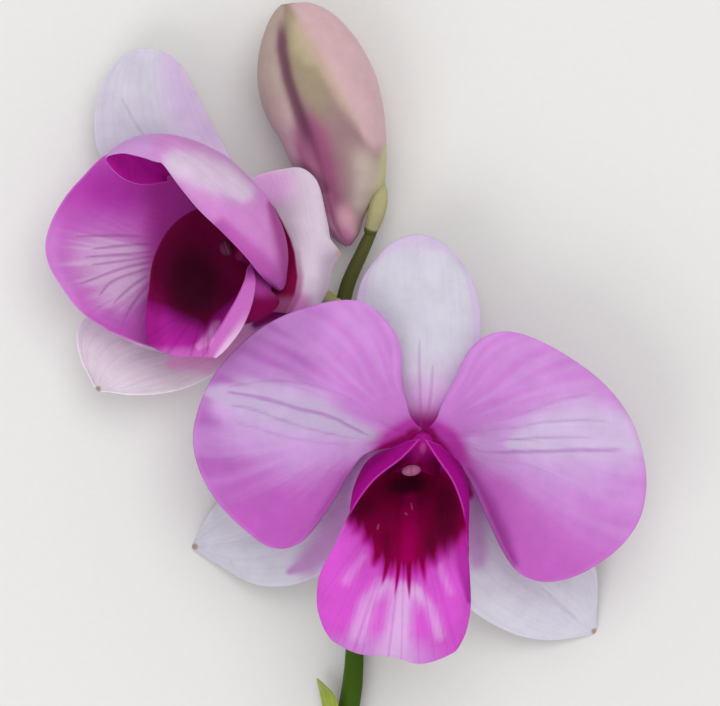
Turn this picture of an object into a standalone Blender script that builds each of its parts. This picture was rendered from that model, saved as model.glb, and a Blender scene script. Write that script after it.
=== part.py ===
"""Cut spray of a dendrobium orchid: a front flower, a half-open side flower and a bud on one stem.

The spray lies on its back on the surface z = 0. +X is to the right, +Y towards the bud and +Z up, out of
the face of the front flower. Places across the spray are given in grid steps, x to the right and y downwards,
and heights in millimetres.
"""

import math

import bmesh
import bpy
import numpy as np

FLOWER_WIDTH = 75.0  # millimetres across the two petals of the front flower
FLOWER_STEPS = 453.0  # grid steps across the same petals
GRID = FLOWER_WIDTH / FLOWER_STEPS  # millimetres a grid step
ORIGIN = (346.0, 421.0)  # grid place that becomes x = y = 0
BLADE = 0.7  # millimetres, thickness of a sepal or petal
LIP_WALL = 0.7  # millimetres, thickness of a lip
SCALE = 0.001  # metres a millimetre

BLADE_GRID = (11, 9)  # cells along and across a blade
BRACT_GRID = (6, 4)
LIP_GRID = (16, 14)
HOOD_GRID = (16, 12)  # the rolled petal of the side flower
BUD_GRID = (20, 24)  # rings along the bud and points round it
TUBE_SIDES = 3  # bevel resolution of stems, 10 sides
REST = 0.0  # height of the surface, millimetres


# Shape functions. All give places as (x, y, z) with x and y in grid steps and z in millimetres.


def spline(points, at, even=True):
    """Places on a smooth curve through the points; at runs from 0 to 1."""
    points = np.asarray(points, float)
    at = np.asarray(at, float)
    count = len(points)
    if even:
        steps = points[1:] - points[:-1]
        steps[:, 2] /= GRID
        knots = np.concatenate([[0.0], np.cumsum(np.linalg.norm(steps, axis=1) ** 0.8)])
    else:
        knots = np.arange(count, dtype=float)
    knots /= knots[-1]
    slopes = np.gradient(points, knots, axis=0)
    index = np.clip(np.searchsorted(knots, at, side="right") - 1, 0, count - 2)
    width = (knots[index + 1] - knots[index])[..., None]
    t = (at[..., None] - knots[index][..., None]) / width
    first, last = points[index], points[index + 1]
    a, b = slopes[index] * width, slopes[index + 1] * width
    return (
        (2 * t**3 - 3 * t**2 + 1) * first
        + (t**3 - 2 * t**2 + t) * a
        + (3 * t**2 - 2 * t**3) * last
        + (t**3 - t**2) * b
    )


def patch(u, v, left, right, base, tip, dome=0.0, keel=0.0, wave=(0.0, 0.0, 0.0)):
    """A blade between four edges: u runs from base to tip, v from the left edge to the right edge."""
    one, zero = np.ones_like(u), np.zeros_like(u)
    sides = (1 - v)[..., None] * spline(left, u) + v[..., None] * spline(right, u)
    ends = (1 - u)[..., None] * spline(base, v) + u[..., None] * spline(tip, v)
    corners = (
        ((1 - u) * (1 - v))[..., None] * spline(left, zero)
        + ((1 - u) * v)[..., None] * spline(right, zero)
        + (u * (1 - v))[..., None] * spline(left, one)
        + (u * v)[..., None] * spline(right, one)
    )
    place = sides + ends - corners
    swell = np.sin(math.pi * u) ** 0.8 * np.sin(math.pi * v)
    place[..., 2] += dome * swell
    place[..., 2] -= keel * np.exp(-(((v - 0.5) / 0.07) ** 2)) * np.sin(math.pi * u) ** 0.5
    height, turns, phase = wave
    ripple = np.sin(2 * math.pi * (turns * u + phase)) * np.abs(2 * v - 1) ** 3 * np.sin(math.pi * u)
    rim = np.sin(2 * math.pi * (turns * v + phase)) * u**4 * np.sin(math.pi * v)
    place[..., 2] += height * (ripple + rim)
    return place


def loft(u, v, rows):
    """A sheet through cross rows given from base to tip, each row from its left edge to its right edge."""
    rows = np.asarray(rows, float)
    across = np.stack([spline(row, v, even=False) for row in rows])
    knots = np.linspace(0.0, 1.0, len(rows))
    slopes = np.gradient(across, knots, axis=0)
    index = np.clip((u * (len(rows) - 1)).astype(int), 0, len(rows) - 2)
    t = (u * (len(rows) - 1) - index)[..., None]
    width = knots[1]
    at = tuple(np.indices(u.shape))
    first, last = across[(index, *at)], across[(index + 1, *at)]
    a, b = slopes[(index, *at)] * width, slopes[(index + 1, *at)] * width
    return (
        (2 * t**3 - 3 * t**2 + 1) * first
        + (t**3 - 2 * t**2 + t) * a
        + (3 * t**2 - 2 * t**3) * last
        + (t**3 - t**2) * b
    )


def metres(place):
    """Grid places and heights as metres from the origin."""
    place = np.asarray(place, float)
    out = np.empty_like(place)
    out[..., 0] = (place[..., 0] - ORIGIN[0]) * GRID
    out[..., 1] = (ORIGIN[1] - place[..., 1]) * GRID
    out[..., 2] = place[..., 2]
    return out * SCALE


# Shapes. Each blade has four edges; the lip and the rolled petal have cross rows.

FRONT_DORSAL = {
    "left": [
        (407, 427, 14.2), (397, 410, 14.4), (380, 380, 15.0), (364, 342, 15.0), (356, 304, 14.2),
        (362, 280, 13.5), (372, 264, 13.0),
    ],
    "right": [
        (442, 427, 14.2), (453, 408, 14.4), (470, 380, 14.8), (480, 348, 14.6), (481, 318, 14.2),
        (475, 288, 13.6), (463, 264, 13.0),
    ],
    "base": [(407, 427, 14.2), (424.5, 422.5, 14.4), (442, 427, 14.2)],
    "tip": [(372, 264, 13.0), (393, 242, 12.8), (419, 234, 12.6), (442, 242, 12.8), (463, 264, 13.0)],
    "dome": 1.2,
    "keel": 0.35,
    "wave": (0.25, 1.0, 0.2),
}
FRONT_PETAL_LEFT = {
    "left": [
        (412, 428, 16.8), (405, 413, 17.3), (402, 384, 18.6), (401, 351, 19.4), (398, 339, 19.5),
        (392, 328, 19.6), (385, 319, 19.5), (379, 312.5, 19.4),
    ],
    "right": [
        (410, 448, 16.8), (387, 448, 17.5), (364, 455, 19.0), (350, 473, 20.2), (333, 502, 20.4),
        (320, 521, 19.7), (311, 532.5, 19.2), (301, 542, 18.9), (292, 546.5, 18.7), (285, 548.2, 18.5),
    ],
    "base": [(412, 428, 16.8), (408, 438, 16.7), (410, 448, 16.8)],
    "tip": [
        (379, 312.5, 19.4), (373, 307.5, 19.3), (364, 302.5, 19.2), (351, 300, 19.0), (330, 301.5, 18.8),
        (312, 306, 18.6), (285, 315, 18.2), (258, 330, 17.8), (232, 353, 17.6), (211, 380, 17.6),
        (198, 410, 17.9), (193, 440, 18.2), (198, 466, 18.4), (214, 497, 18.6), (230, 516, 18.7),
        (249, 533, 18.7), (262, 543, 18.6), (270, 546.8, 18.6), (278, 548.4, 18.5), (285, 548.2, 18.5),
    ],
    "dome": 1.6,
    "keel": 0.3,
    "wave": (0.5, 1.5, 0.1),
}
FRONT_PETAL_RIGHT = {
    "left": [
        (437, 428, 16.8), (445, 411, 17.4), (455, 379, 18.8), (463, 360, 19.3), (473, 345.5, 19.7),
        (484, 337, 19.8), (493, 333, 19.8),
    ],
    "right": [
        (439, 448, 16.8), (453, 458, 17.8), (467, 476, 19.0), (486, 517, 20.2), (504, 554, 19.8),
        (513, 567, 19.5), (523, 575.5, 19.2), (534, 580, 18.9),
    ],
    "base": [(437, 428, 16.8), (441, 438, 16.7), (439, 448, 16.8)],
    "tip": [
        (493, 333, 19.8), (503, 331.3, 19.7), (516, 332.5, 19.6), (533, 338, 19.4), (575, 361, 19.0),
        (608, 388, 18.4), (631, 420, 18.0), (643, 456, 17.8), (646, 485, 17.9), (640, 517, 18.1),
        (625, 541, 18.2), (602, 561, 18.4), (572, 577, 18.6), (558, 580.6, 18.6), (545, 581.6, 18.7),
        (534, 580, 18.9),
    ],
    "dome": 1.6,
    "keel": 0.3,
    "wave": (0.5, 1.5, 0.55),
}
FRONT_LATERAL_LEFT = {
    "left": [
        (408, 448, 13.9), (375, 446, 13.2), (330, 454, 11.4), (280, 468, 8.8), (236, 487, 5.8),
        (213, 508, 3.4), (200, 528, 1.6), (194, 543, 0.7),
    ],
    "right": [
        (405, 482, 10.9), (386, 520, 11.4), (355, 556, 11.0), (318, 577, 9.2), (285, 587, 7.2),
        (253, 585, 4.8), (220, 568, 2.1), (197, 554, 0.6),
    ],
    "base": [(408, 448, 13.9), (405, 466, 12.6), (405, 482, 10.9)],
    "tip": [(194, 543, 0.7), (190.5, 549, 0.2), (197, 554, 0.6)],
    "dome": 0.9,
    "keel": 0.3,
    "wave": (0.2, 1.0, 0.6),
}
FRONT_LATERAL_RIGHT = {
    "left": [
        (442, 448, 13.9), (475, 463, 12.9), (520, 500, 10.6), (560, 530, 7.8), (585, 551, 5.4),
        (597, 570, 3.8), (599, 597, 2.0), (598, 623, 0.7),
    ],
    "right": [
        (427, 482, 10.9), (438, 536, 11.4), (453, 585, 10.8), (470, 609, 9.4), (493, 625, 7.4),
        (523, 638, 4.9), (556, 642, 2.4), (586, 638, 0.6),
    ],
    "base": [(442, 448, 13.9), (436, 464, 12.7), (427, 482, 10.9)],
    "tip": [(598, 623, 0.7), (597, 635, 0.3), (586, 638, 0.6)],
    "dome": 0.9,
    "keel": 0.3,
    "wave": (0.2, 1.0, 0.1),
}
FRONT_LIP = [
    [
        (424, 440, 28.6), (400, 447, 24.6), (394, 462, 19.0), (414, 478, 13.6), (436, 464, 19.0),
        (449, 450, 24.6), (431, 440, 28.6),
    ],
    [
        (405, 458, 31.8), (378, 463, 26.4), (384, 484, 19.0), (411, 496, 15.4), (437, 486, 19.0),
        (456, 467, 26.2), (441, 455, 31.4),
    ],
    [
        (379, 475, 33.8), (365, 486, 28.6), (379, 505, 22.0), (409, 514, 19.4), (439, 505, 22.0),
        (462, 486, 28.2), (450, 473, 33.2),
    ],
    [
        (362, 493, 34.2), (358, 503, 30.4), (376, 522, 25.0), (408, 534, 22.8), (440, 523, 25.0),
        (464, 506, 30.0), (458, 492, 34.2),
    ],
    [
        (348, 515, 33.8), (352, 526, 31.4), (374, 545, 28.0), (406, 560, 26.4), (441, 548, 28.0),
        (465, 531, 31.4), (464, 518, 33.8),
    ],
    [
        (334, 545, 32.4), (344, 556, 31.8), (371, 575, 30.3), (403, 588, 29.4), (438, 578, 30.3),
        (464, 558, 31.8), (467, 546, 32.8),
    ],
    [
        (320, 573, 30.4), (334, 586, 31.0), (364, 604, 31.0), (399, 614, 30.8), (434, 606, 31.0),
        (462, 588, 31.2), (469, 574, 31.0),
    ],
    [
        (317, 600, 28.4), (330, 613, 29.4), (360, 630, 30.0), (397, 638, 30.0), (432, 632, 30.0),
        (459, 614, 30.0), (470, 604, 29.0),
    ],
    [
        (322, 622, 27.3), (333, 632, 27.9), (361, 645, 28.8), (394, 649.5, 28.9), (425, 648, 28.8),
        (453, 637, 28.4), (466, 628, 27.7),
    ],
    [
        (328.5, 633.5, 26.5), (336, 641.5, 26.8), (359, 652, 27.3), (391, 655, 27.5), (421, 662, 27.4),
        (451, 652, 27.0), (460, 642, 26.7),
    ],
]
FRONT_COLUMN = [
    (416, 480, 10.8, 1.1), (420, 464, 11.6, 1.4), (424, 448, 13.2, 1.8), (425, 439, 15.8, 2.1),
    (424, 442, 18.6, 2.3), (420, 452, 21.6, 2.7), (415, 461, 23.8, 2.5),
]
FRONT_CAP = ((412.5, 465.7, 25.1), (1.6, 1.1, 1.1))
FRONT_STALK = [
    (360.5, 592, 5.35, 0.95), (368, 572, 5.5, 1.05), (388, 520, 5.4, 1.2), (410, 470, 6.6, 1.4),
    (423, 440, 9.0, 1.7), (427, 427, 11.2, 1.8),
]

SIDE_DORSAL = {
    "left": [
        (272, 249, 6.8), (215, 218, 5.0), (150, 190, 4.4), (110, 170, 4.6), (97, 150, 5.2),
        (93, 124, 5.8), (96, 97, 6.6), (106, 72, 7.2), (120, 55, 7.6),
    ],
    "right": [
        (286, 240, 7.4), (266, 208, 6.8), (245, 180, 6.8), (233, 162, 6.8), (220, 138, 7.0),
        (205, 110, 7.4), (192, 84, 7.6), (181, 64, 7.6),
    ],
    "base": [(272, 249, 6.8), (278, 244, 6.8), (286, 240, 7.4)],
    "tip": [
        (120, 55, 7.6), (128, 50, 7.5), (140, 47, 7.4), (153, 48, 7.4), (168, 53.5, 7.5), (181, 64, 7.6),
    ],
    "dome": -0.8,
    "keel": 0.3,
    "wave": (0.2, 1.0, 0.2),
}
SIDE_PETAL_LEFT = {
    "left": [
        (281, 256, 9.5), (262, 238, 8.4), (235, 214, 7.8), (195, 176, 8.4), (160, 158, 10.0),
        (134, 150.5, 11.5), (121, 149.5, 12.2), (112, 151.5, 12.6), (103, 156, 12.9),
    ],
    "right": [
        (285, 278, 8.5), (270, 289, 8.3), (246, 314, 8.2), (212, 341, 9.4), (180, 352, 11.0),
        (150, 347, 12.4), (130, 340, 13.2), (109, 331, 13.6),
    ],
    "base": [(281, 256, 9.5), (282, 267, 9.0), (285, 278, 8.5)],
    "tip": [
        (103, 156, 12.9), (94, 164, 13.1), (83, 176, 13.3), (71, 189, 13.4), (59, 206, 13.4),
        (49, 227, 13.4),
        (45, 246, 13.4), (49, 266, 13.5), (60, 285, 13.6), (80, 311, 13.7), (109, 331, 13.6),
    ],
    "dome": -3.6,
    "keel": 0.0,
    "wave": (0.3, 1.5, 0.3),
}
SIDE_PETAL_RIGHT = [
    [
        (287, 257, 15.35), (291, 262, 15.15), (294, 269, 14.95), (295, 278, 14.65), (293, 286, 14.5),
        (288, 290, 14.4), (282, 289, 14.5),
    ],
    [
        (268, 234, 15.6), (272, 223, 16.0), (277, 231, 18.6), (283, 248, 20.6), (281, 264, 21.4),
        (273, 275, 21.4), (264, 278, 20.8),
    ],
    [
        (248, 208, 14.2), (254, 196, 15.4), (262, 204, 19.6), (266, 220, 23.8), (262, 238, 25.6),
        (255, 253, 25.8), (245, 256, 25.2),
    ],
    [
        (228, 188, 12.8), (238, 173, 14.8), (249, 181, 20.2), (252, 197, 24.8), (246, 215, 27.4),
        (234, 232, 27.8), (223, 233, 27.2),
    ],
    [
        (208, 176, 12.6), (214, 154, 14.8), (226, 161, 20.4), (228, 176, 25.4), (220, 194, 28.6),
        (210, 210, 29.2), (200, 211, 28.6),
    ],
    [
        (190, 172, 13.0), (186, 146, 16.0), (194, 143, 21.4), (198, 154, 26.6), (194, 172, 29.6),
        (188, 187, 30.2), (181, 188, 29.6),
    ],
    [
        (178, 174, 14.2), (160, 151, 17.6), (162, 137, 22.0), (168, 141, 26.6), (170, 155, 29.4),
        (172, 168, 30.2), (170, 173, 30.0),
    ],
    [
        (168, 177, 15.6), (142, 160, 18.6), (136, 143, 22.0), (142, 139, 25.4), (150, 146, 28.2),
        (157, 156, 29.4), (162, 161, 29.6),
    ],
    [
        (166, 181, 16.6), (137, 180, 18.2), (118, 166, 20.4), (109, 155, 22.8), (124, 147, 25.6),
        (140, 151, 27.8), (152, 156, 28.6),
    ],
]
SIDE_LATERAL_LEFT = {
    "left": [
        (287, 286, 7.8), (225, 306, 4.6), (165, 312, 3.6), (115, 310, 4.0), (88, 314, 5.4),
        (76, 331, 6.8), (79, 357, 8.2), (91, 382, 9.4),
    ],
    "right": [
        (309, 304, 8.4), (272, 330, 8.4), (241, 358, 9.2), (211, 376, 9.6), (186, 388, 9.8),
        (158, 394, 10.0), (130, 395, 10.0), (107, 392, 9.8),
    ],
    "base": [(287, 286, 7.8), (298, 295, 8.0), (309, 304, 8.4)],
    "tip": [(91, 382, 9.4), (97, 391, 9.8), (107, 392, 9.8)],
    "dome": -2.8,
    "keel": 0.3,
    "wave": (0.2, 1.0, 0.4),
}
SIDE_LATERAL_RIGHT = {
    "left": [
        (301, 306, 13.2), (302, 288, 13.4), (300, 262, 13.2), (288, 239, 12.5), (266, 220, 11.8),
        (250, 202, 11.4), (240, 187, 11.2),
    ],
    "right": [
        (327, 303, 12.4), (328, 292, 12.6), (331, 278, 12.6), (334, 265, 12.3), (341, 254, 11.9),
        (332, 244, 12.8), (328, 226, 13.7), (322, 196, 14.6),
    ],
    "base": [(301, 306, 13.2), (314, 304, 13.0), (327, 303, 12.4)],
    "tip": [
        (240, 187, 11.2), (256, 176, 12.2), (281, 169, 14.0), (302, 168, 15.0), (315, 178, 15.2),
        (322, 196, 14.6),
    ],
    "dome": 1.6,
    "keel": 0.0,
    "wave": (0.0, 1.0, 0.0),
}
SIDE_LIP = [
    [
        (240, 226, 12.6), (250, 243, 10.8), (262, 262, 10.4), (273, 281, 12.2), (275, 277, 15.4),
        (270, 265, 17.4), (264, 257, 18.6), (260, 252, 18.8),
    ],
    [
        (216, 212, 14.6), (226, 232, 11.4), (240, 256, 10.8), (259, 287, 12.4), (270, 291, 14.8),
        (262, 281, 18.4), (250, 267, 19.9), (254, 265.5, 20.2),
    ],
    [
        (195, 210, 15.8), (203, 232, 12.4), (218, 262, 11.4), (246, 298, 12.6), (277, 303, 16.6),
        (262, 293, 20.6), (246, 281, 22.6), (256, 282, 22.9),
    ],
    [
        (170, 228, 16.6), (180, 250, 14.0), (199, 278, 13.0), (228, 308, 14.4), (262, 316, 17.6),
        (254, 308, 21.2), (238, 299, 23.4), (253, 303, 23.8),
    ],
    [
        (154, 258, 17.4), (165, 275, 15.8), (184, 298, 15.2), (210, 321, 16.4), (234, 326, 19.2),
        (239, 323, 21.6), (226, 319, 23.2), (244, 326, 23.6),
    ],
    [
        (149, 290, 18.2), (159, 302, 17.6), (177, 318, 17.4), (197, 334, 18.4), (214, 339, 20.2),
        (224, 338, 21.6), (216, 336, 22.8), (233, 342, 23.2),
    ],
    [
        (146, 316, 18.6), (154, 325, 18.8), (170, 336, 19.0), (186, 345, 19.6), (199, 349, 20.8),
        (212, 349, 21.6), (210, 348, 22.4), (224, 352, 22.8),
    ],
    [
        (146, 335, 18.6), (151, 345, 18.8), (162, 352, 19.2), (177, 356, 19.8), (189, 357, 20.6),
        (201, 357, 21.3), (207.5, 357, 22.0), (217, 358, 22.2),
    ],
]
SIDE_COLUMN = [
    (313, 301, 10.6, 1.5), (304, 289, 10.6, 2.1), (294, 274, 10.8, 2.2), (282, 262, 12.4, 2.0),
    (266, 256, 14.6, 2.0), (249, 252, 16.2, 2.0), (236, 250, 17.2, 1.7),
]
SIDE_CAP = ((226.5, 248.5, 18.0), (1.1, 1.3, 1.0))
SIDE_STALK = [
    (340, 305, 7.6, 1.0), (328, 301, 6.2, 1.15), (314, 291, 5.2, 1.35), (304, 281, 5.7, 1.4),
    (298, 275, 7.1, 1.3),
]

BUD_ROWS = [  # left place, right place, height of the middle, half depth
    ((281, 4), (294, 2), 9.6, 0.9),
    ((274, 11), (311, 2), 9.5, 2.8),
    ((266, 26), (332, 12), 9.4, 4.6),
    ((259, 50), (350, 30), 9.3, 6.4),
    ((257, 76), (364, 50), 9.0, 7.9),
    ((261, 102), (376, 75), 8.8, 8.8),
    ((270, 124), (383, 104), 8.7, 9.2),
    ((280, 140), (386, 133), 8.5, 9.1),
    ((290, 162), (386.5, 158), 8.1, 8.5),
    ((301, 184), (384, 182), 7.2, 7.3),
    ((311, 203), (373, 198), 6.5, 5.9),
    ((323, 225), (362, 216), 5.8, 4.2),
    ((334, 240), (355, 232), 5.4, 2.5),
    ((342, 246), (351, 242), 5.2, 0.9),
]
BUD_GROOVE = 0.167  # turn round the bud where one sepal laps over the next
BUD_RIDGE = (0.14, 0.59)  # turn of the front sepal's midrib at the tip and at the chin
BUD_STALK = [
    (371, 228, 5.9, 1.0), (376, 217, 5.8, 1.4), (378.6, 208, 5.7, 1.5), (381.2, 199, 5.7, 1.2),
]
RACHIS = [
    (371.5, 231.5, 5.7, 1.0), (363, 250, 5.4, 1.25), (346, 290, 4.9, 1.3), (340, 340, 4.2, 1.35),
    (342, 420, 3.4, 1.4), (348, 500, 3.0, 1.45), (352, 575, 2.7, 1.6), (355, 640, 2.4, 1.5),
    (352, 690, 2.2, 1.55), (344, 735, 2.1, 1.75), (336, 775, 2.0, 1.6), (327, 815, 2.0, 1.6),
    (322, 838, 2.0, 1.65),
]
LOWER_BRACT = {
    "left": [(328, 741, 2.6), (324, 722, 2.2), (321, 702, 2.2), (318, 688, 2.6)],
    "right": [(332, 735, 5.4), (339, 712, 5.0), (333, 695, 4.4), (322, 684, 3.4)],
    "base": [(328, 741, 2.6), (328, 739, 4.2), (332, 735, 5.4)],
    "tip": [(318, 688, 2.6), (316.5, 680, 3.0), (322, 684, 3.4)],
    "dome": 0.5,
}
UPPER_BRACT = {
    "left": [(334, 303, 2.6), (328, 300, 2.6), (322, 298, 2.8), (318, 296, 3.0)],
    "right": [(333, 292, 3.9), (329, 290, 3.8), (324, 290, 3.6), (320, 291, 3.4)],
    "base": [(334, 303, 2.6), (332.5, 298, 3.4), (333, 292, 3.9)],
    "tip": [(318, 296, 3.0), (317, 293, 3.3), (320, 291, 3.4)],
    "dome": 0.2,
}


# Scene building.


def clear_scene():
    for obj in list(bpy.data.objects):
        bpy.data.objects.remove(obj, do_unlink=True)


def collection(name):
    group = bpy.data.collections.new(name)
    bpy.context.scene.collection.children.link(group)
    return group


def plain_material(name, colour, roughness):
    material = bpy.data.materials.new(name)
    material.use_nodes = True
    shader = material.node_tree.nodes["Principled BSDF"]
    shader.inputs["Base Color"].default_value = (*colour, 1.0)
    shader.inputs["Roughness"].default_value = roughness
    return material


def sheet_object(name, group, material, cells, shape, thickness):
    """A thin blade: a grid laid on the shape, split into triangles and thickened on both sides."""
    along, across = cells
    mesh = bpy.data.meshes.new(name)
    work = bmesh.new()
    bmesh.ops.create_grid(work, x_segments=along, y_segments=across, size=0.5)
    work.verts.ensure_lookup_table()
    u = np.array([min(max(vert.co.x + 0.5, 0.0), 1.0) for vert in work.verts])
    v = np.array([min(max(vert.co.y + 0.5, 0.0), 1.0) for vert in work.verts])
    for vert, place in zip(work.verts, metres(shape(u, v))):
        vert.co = place
    bmesh.ops.triangulate(work, faces=work.faces[:], quad_method="SHORT_EDGE")
    work.to_mesh(mesh)
    work.free()
    obj = bpy.data.objects.new(name, mesh)
    group.objects.link(obj)
    obj.data.materials.append(material)
    solid = obj.modifiers.new("Thickness", "SOLIDIFY")
    solid.thickness = thickness * SCALE
    solid.offset = 0.0
    solid.use_even_offset = False
    return obj


def tube_object(name, group, material, path, count):
    """A stem or column: a bevelled curve with a radius at each point and filled ends."""
    points = np.asarray(path, float)
    at = np.linspace(0.0, 1.0, count)
    places = metres(spline(points[:, :3], at))
    radii = spline(points[:, 3:], at, even=False)[:, 0]
    curve = bpy.data.curves.new(name, "CURVE")
    curve.dimensions = "3D"
    curve.bevel_depth = SCALE
    curve.bevel_resolution = TUBE_SIDES
    curve.use_fill_caps = True
    line = curve.splines.new("POLY")
    line.points.add(count - 1)
    for point, place, radius in zip(line.points, places, radii):
        point.co = (*place, 1.0)
        point.radius = radius
    obj = bpy.data.objects.new(name, curve)
    group.objects.link(obj)
    obj.data.materials.append(material)
    return obj


def cap_object(name, group, material, place, radii):
    mesh = bpy.data.meshes.new(name)
    work = bmesh.new()
    bmesh.ops.create_uvsphere(work, u_segments=14, v_segments=9, radius=SCALE)
    centre = metres(place)
    for vert in work.verts:
        vert.co = [centre[i] + vert.co[i] * radii[i] for i in range(3)]
    work.to_mesh(mesh)
    work.free()
    obj = bpy.data.objects.new(name, mesh)
    group.objects.link(obj)
    obj.data.materials.append(material)
    return obj


def bud_place(t, turn):
    """A place on the closed bud: t from tip to chin, turn once round from the left over the front."""
    rows = np.array([[*left, *right, middle, depth] for left, right, middle, depth in BUD_ROWS], float)
    at = spline(rows, t, even=False)
    left, right, middle, depth = at[:, 0:2], at[:, 2:4], at[:, 4], at[:, 5]
    angle = turn * 2 * math.pi
    groove = np.exp(-(((turn - BUD_GROOVE) / 0.022) ** 2)) * np.sin(math.pi * t) ** 0.6
    rib = BUD_RIDGE[0] + (BUD_RIDGE[1] - BUD_RIDGE[0]) * t
    ridge = np.exp(-(((turn - rib) / 0.05) ** 2)) * np.sin(math.pi * t)
    size = 1.0 - 0.075 * groove + 0.035 * ridge
    across = 0.5 - 0.5 * np.cos(angle) * size
    place = np.empty((len(t), 3))
    place[:, :2] = left + (right - left) * across[:, None]
    place[:, 2] = middle + depth * np.sin(angle) * size
    return place


def bud_object(name, group, material, cells):
    """The closed bud: a tube of rings with both ends filled."""
    along, around = cells
    mesh = bpy.data.meshes.new(name)
    work = bmesh.new()
    rings = []
    for i in range(along + 1):
        t = np.full(around, i / along)
        turn = np.arange(around) / around
        rings.append([work.verts.new(place) for place in metres(bud_place(t, turn))])
    loops = [[work.edges.new(pair) for pair in zip(ring, ring[1:] + ring[:1])] for ring in rings]
    for first, second in zip(loops, loops[1:]):
        bmesh.ops.bridge_loops(work, edges=first + second)
    work.faces.new(rings[0])
    work.faces.new(rings[-1])
    bmesh.ops.triangulate(work, faces=work.faces[:])
    bmesh.ops.recalc_face_normals(work, faces=work.faces[:])
    for vert in work.verts:
        vert.co.z = max(vert.co.z, REST * SCALE)
    work.to_mesh(mesh)
    work.free()
    obj = bpy.data.objects.new(name, mesh)
    group.objects.link(obj)
    obj.data.materials.append(material)
    return obj


def settle(obj):
    """Turn the blade into plain mesh and flatten what would be below the surface, where its tip rests."""
    graph = bpy.context.evaluated_depsgraph_get()
    mesh = bpy.data.meshes.new_from_object(obj.evaluated_get(graph))
    obj.modifiers.clear()
    obj.data = mesh
    for vert in mesh.vertices:
        vert.co.z = max(vert.co.z, REST * SCALE)


def main():
    clear_scene()
    group = collection("dendrobium_spray")
    sepal = plain_material("sepal_tissue", (0.60, 0.52, 0.66), 0.5)
    petal = plain_material("petal_tissue", (0.56, 0.24, 0.60), 0.5)
    lip = plain_material("lip_tissue", (0.42, 0.02, 0.20), 0.45)
    column = plain_material("column_tissue", (0.45, 0.06, 0.30), 0.45)
    cap = plain_material("anther_cap_tissue", (0.75, 0.50, 0.62), 0.4)
    stem = plain_material("stem_tissue", (0.10, 0.17, 0.03), 0.5)
    bud = plain_material("bud_tissue", (0.45, 0.32, 0.30), 0.5)
    bract = plain_material("bract_tissue", (0.35, 0.42, 0.12), 0.6)

    blades = {
        "front_dorsal_sepal": (FRONT_DORSAL, sepal),
        "front_petal_left": (FRONT_PETAL_LEFT, petal),
        "front_petal_right": (FRONT_PETAL_RIGHT, petal),
        "front_lateral_sepal_left": (FRONT_LATERAL_LEFT, sepal),
        "front_lateral_sepal_right": (FRONT_LATERAL_RIGHT, sepal),
        "side_dorsal_sepal": (SIDE_DORSAL, sepal),
        "side_petal_left": (SIDE_PETAL_LEFT, petal),
        "side_lateral_sepal_left": (SIDE_LATERAL_LEFT, sepal),
        "side_lateral_sepal_right": (SIDE_LATERAL_RIGHT, sepal),
    }
    for name, (edges, material) in blades.items():
        sheet_object(name, group, material, BLADE_GRID, lambda u, v, e=edges: patch(u, v, **e), BLADE)
    for name, edges in {"lower_bract": LOWER_BRACT, "upper_bract": UPPER_BRACT}.items():
        sheet_object(name, group, bract, BRACT_GRID, lambda u, v, e=edges: patch(u, v, **e), BLADE)
    for name, rows, cells, wall, material in (
        ("front_lip", FRONT_LIP, LIP_GRID, LIP_WALL, lip),
        ("side_lip", SIDE_LIP, LIP_GRID, LIP_WALL, lip),
        ("side_petal_right", SIDE_PETAL_RIGHT, HOOD_GRID, BLADE, petal),
    ):
        sheet_object(name, group, material, cells, lambda u, v, r=rows: loft(u, v, r), wall)
    for name, path, count, material in (
        ("front_column", FRONT_COLUMN, 14, column),
        ("side_column", SIDE_COLUMN, 14, column),
        ("front_pedicel", FRONT_STALK, 10, stem),
        ("side_pedicel", SIDE_STALK, 8, stem),
        ("bud_pedicel", BUD_STALK, 8, stem),
        ("rachis", RACHIS, 26, stem),
    ):
        tube_object(name, group, material, path, count)
    cap_object("front_anther_cap", group, cap, *FRONT_CAP)
    cap_object("side_anther_cap", group, cap, *SIDE_CAP)
    bud_object("bud", group, bud, BUD_GRID)
    bpy.context.view_layer.update()
    for name in ("front_lateral_sepal_left", "front_lateral_sepal_right"):
        settle(bpy.data.objects[name])


main()
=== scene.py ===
"""Finish of a cut dendrobium orchid spray that lies on its back: finer petals, lips, stems and bud round
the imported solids, with their colours, veins and small hairs.

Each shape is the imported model's own, so it is given as there: places in grid steps, x to the right and y
downwards, and heights in millimetres. Run as a script it builds everything; as an add-on it lists each
step in the sidebar.
"""

import math
from functools import partial

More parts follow.
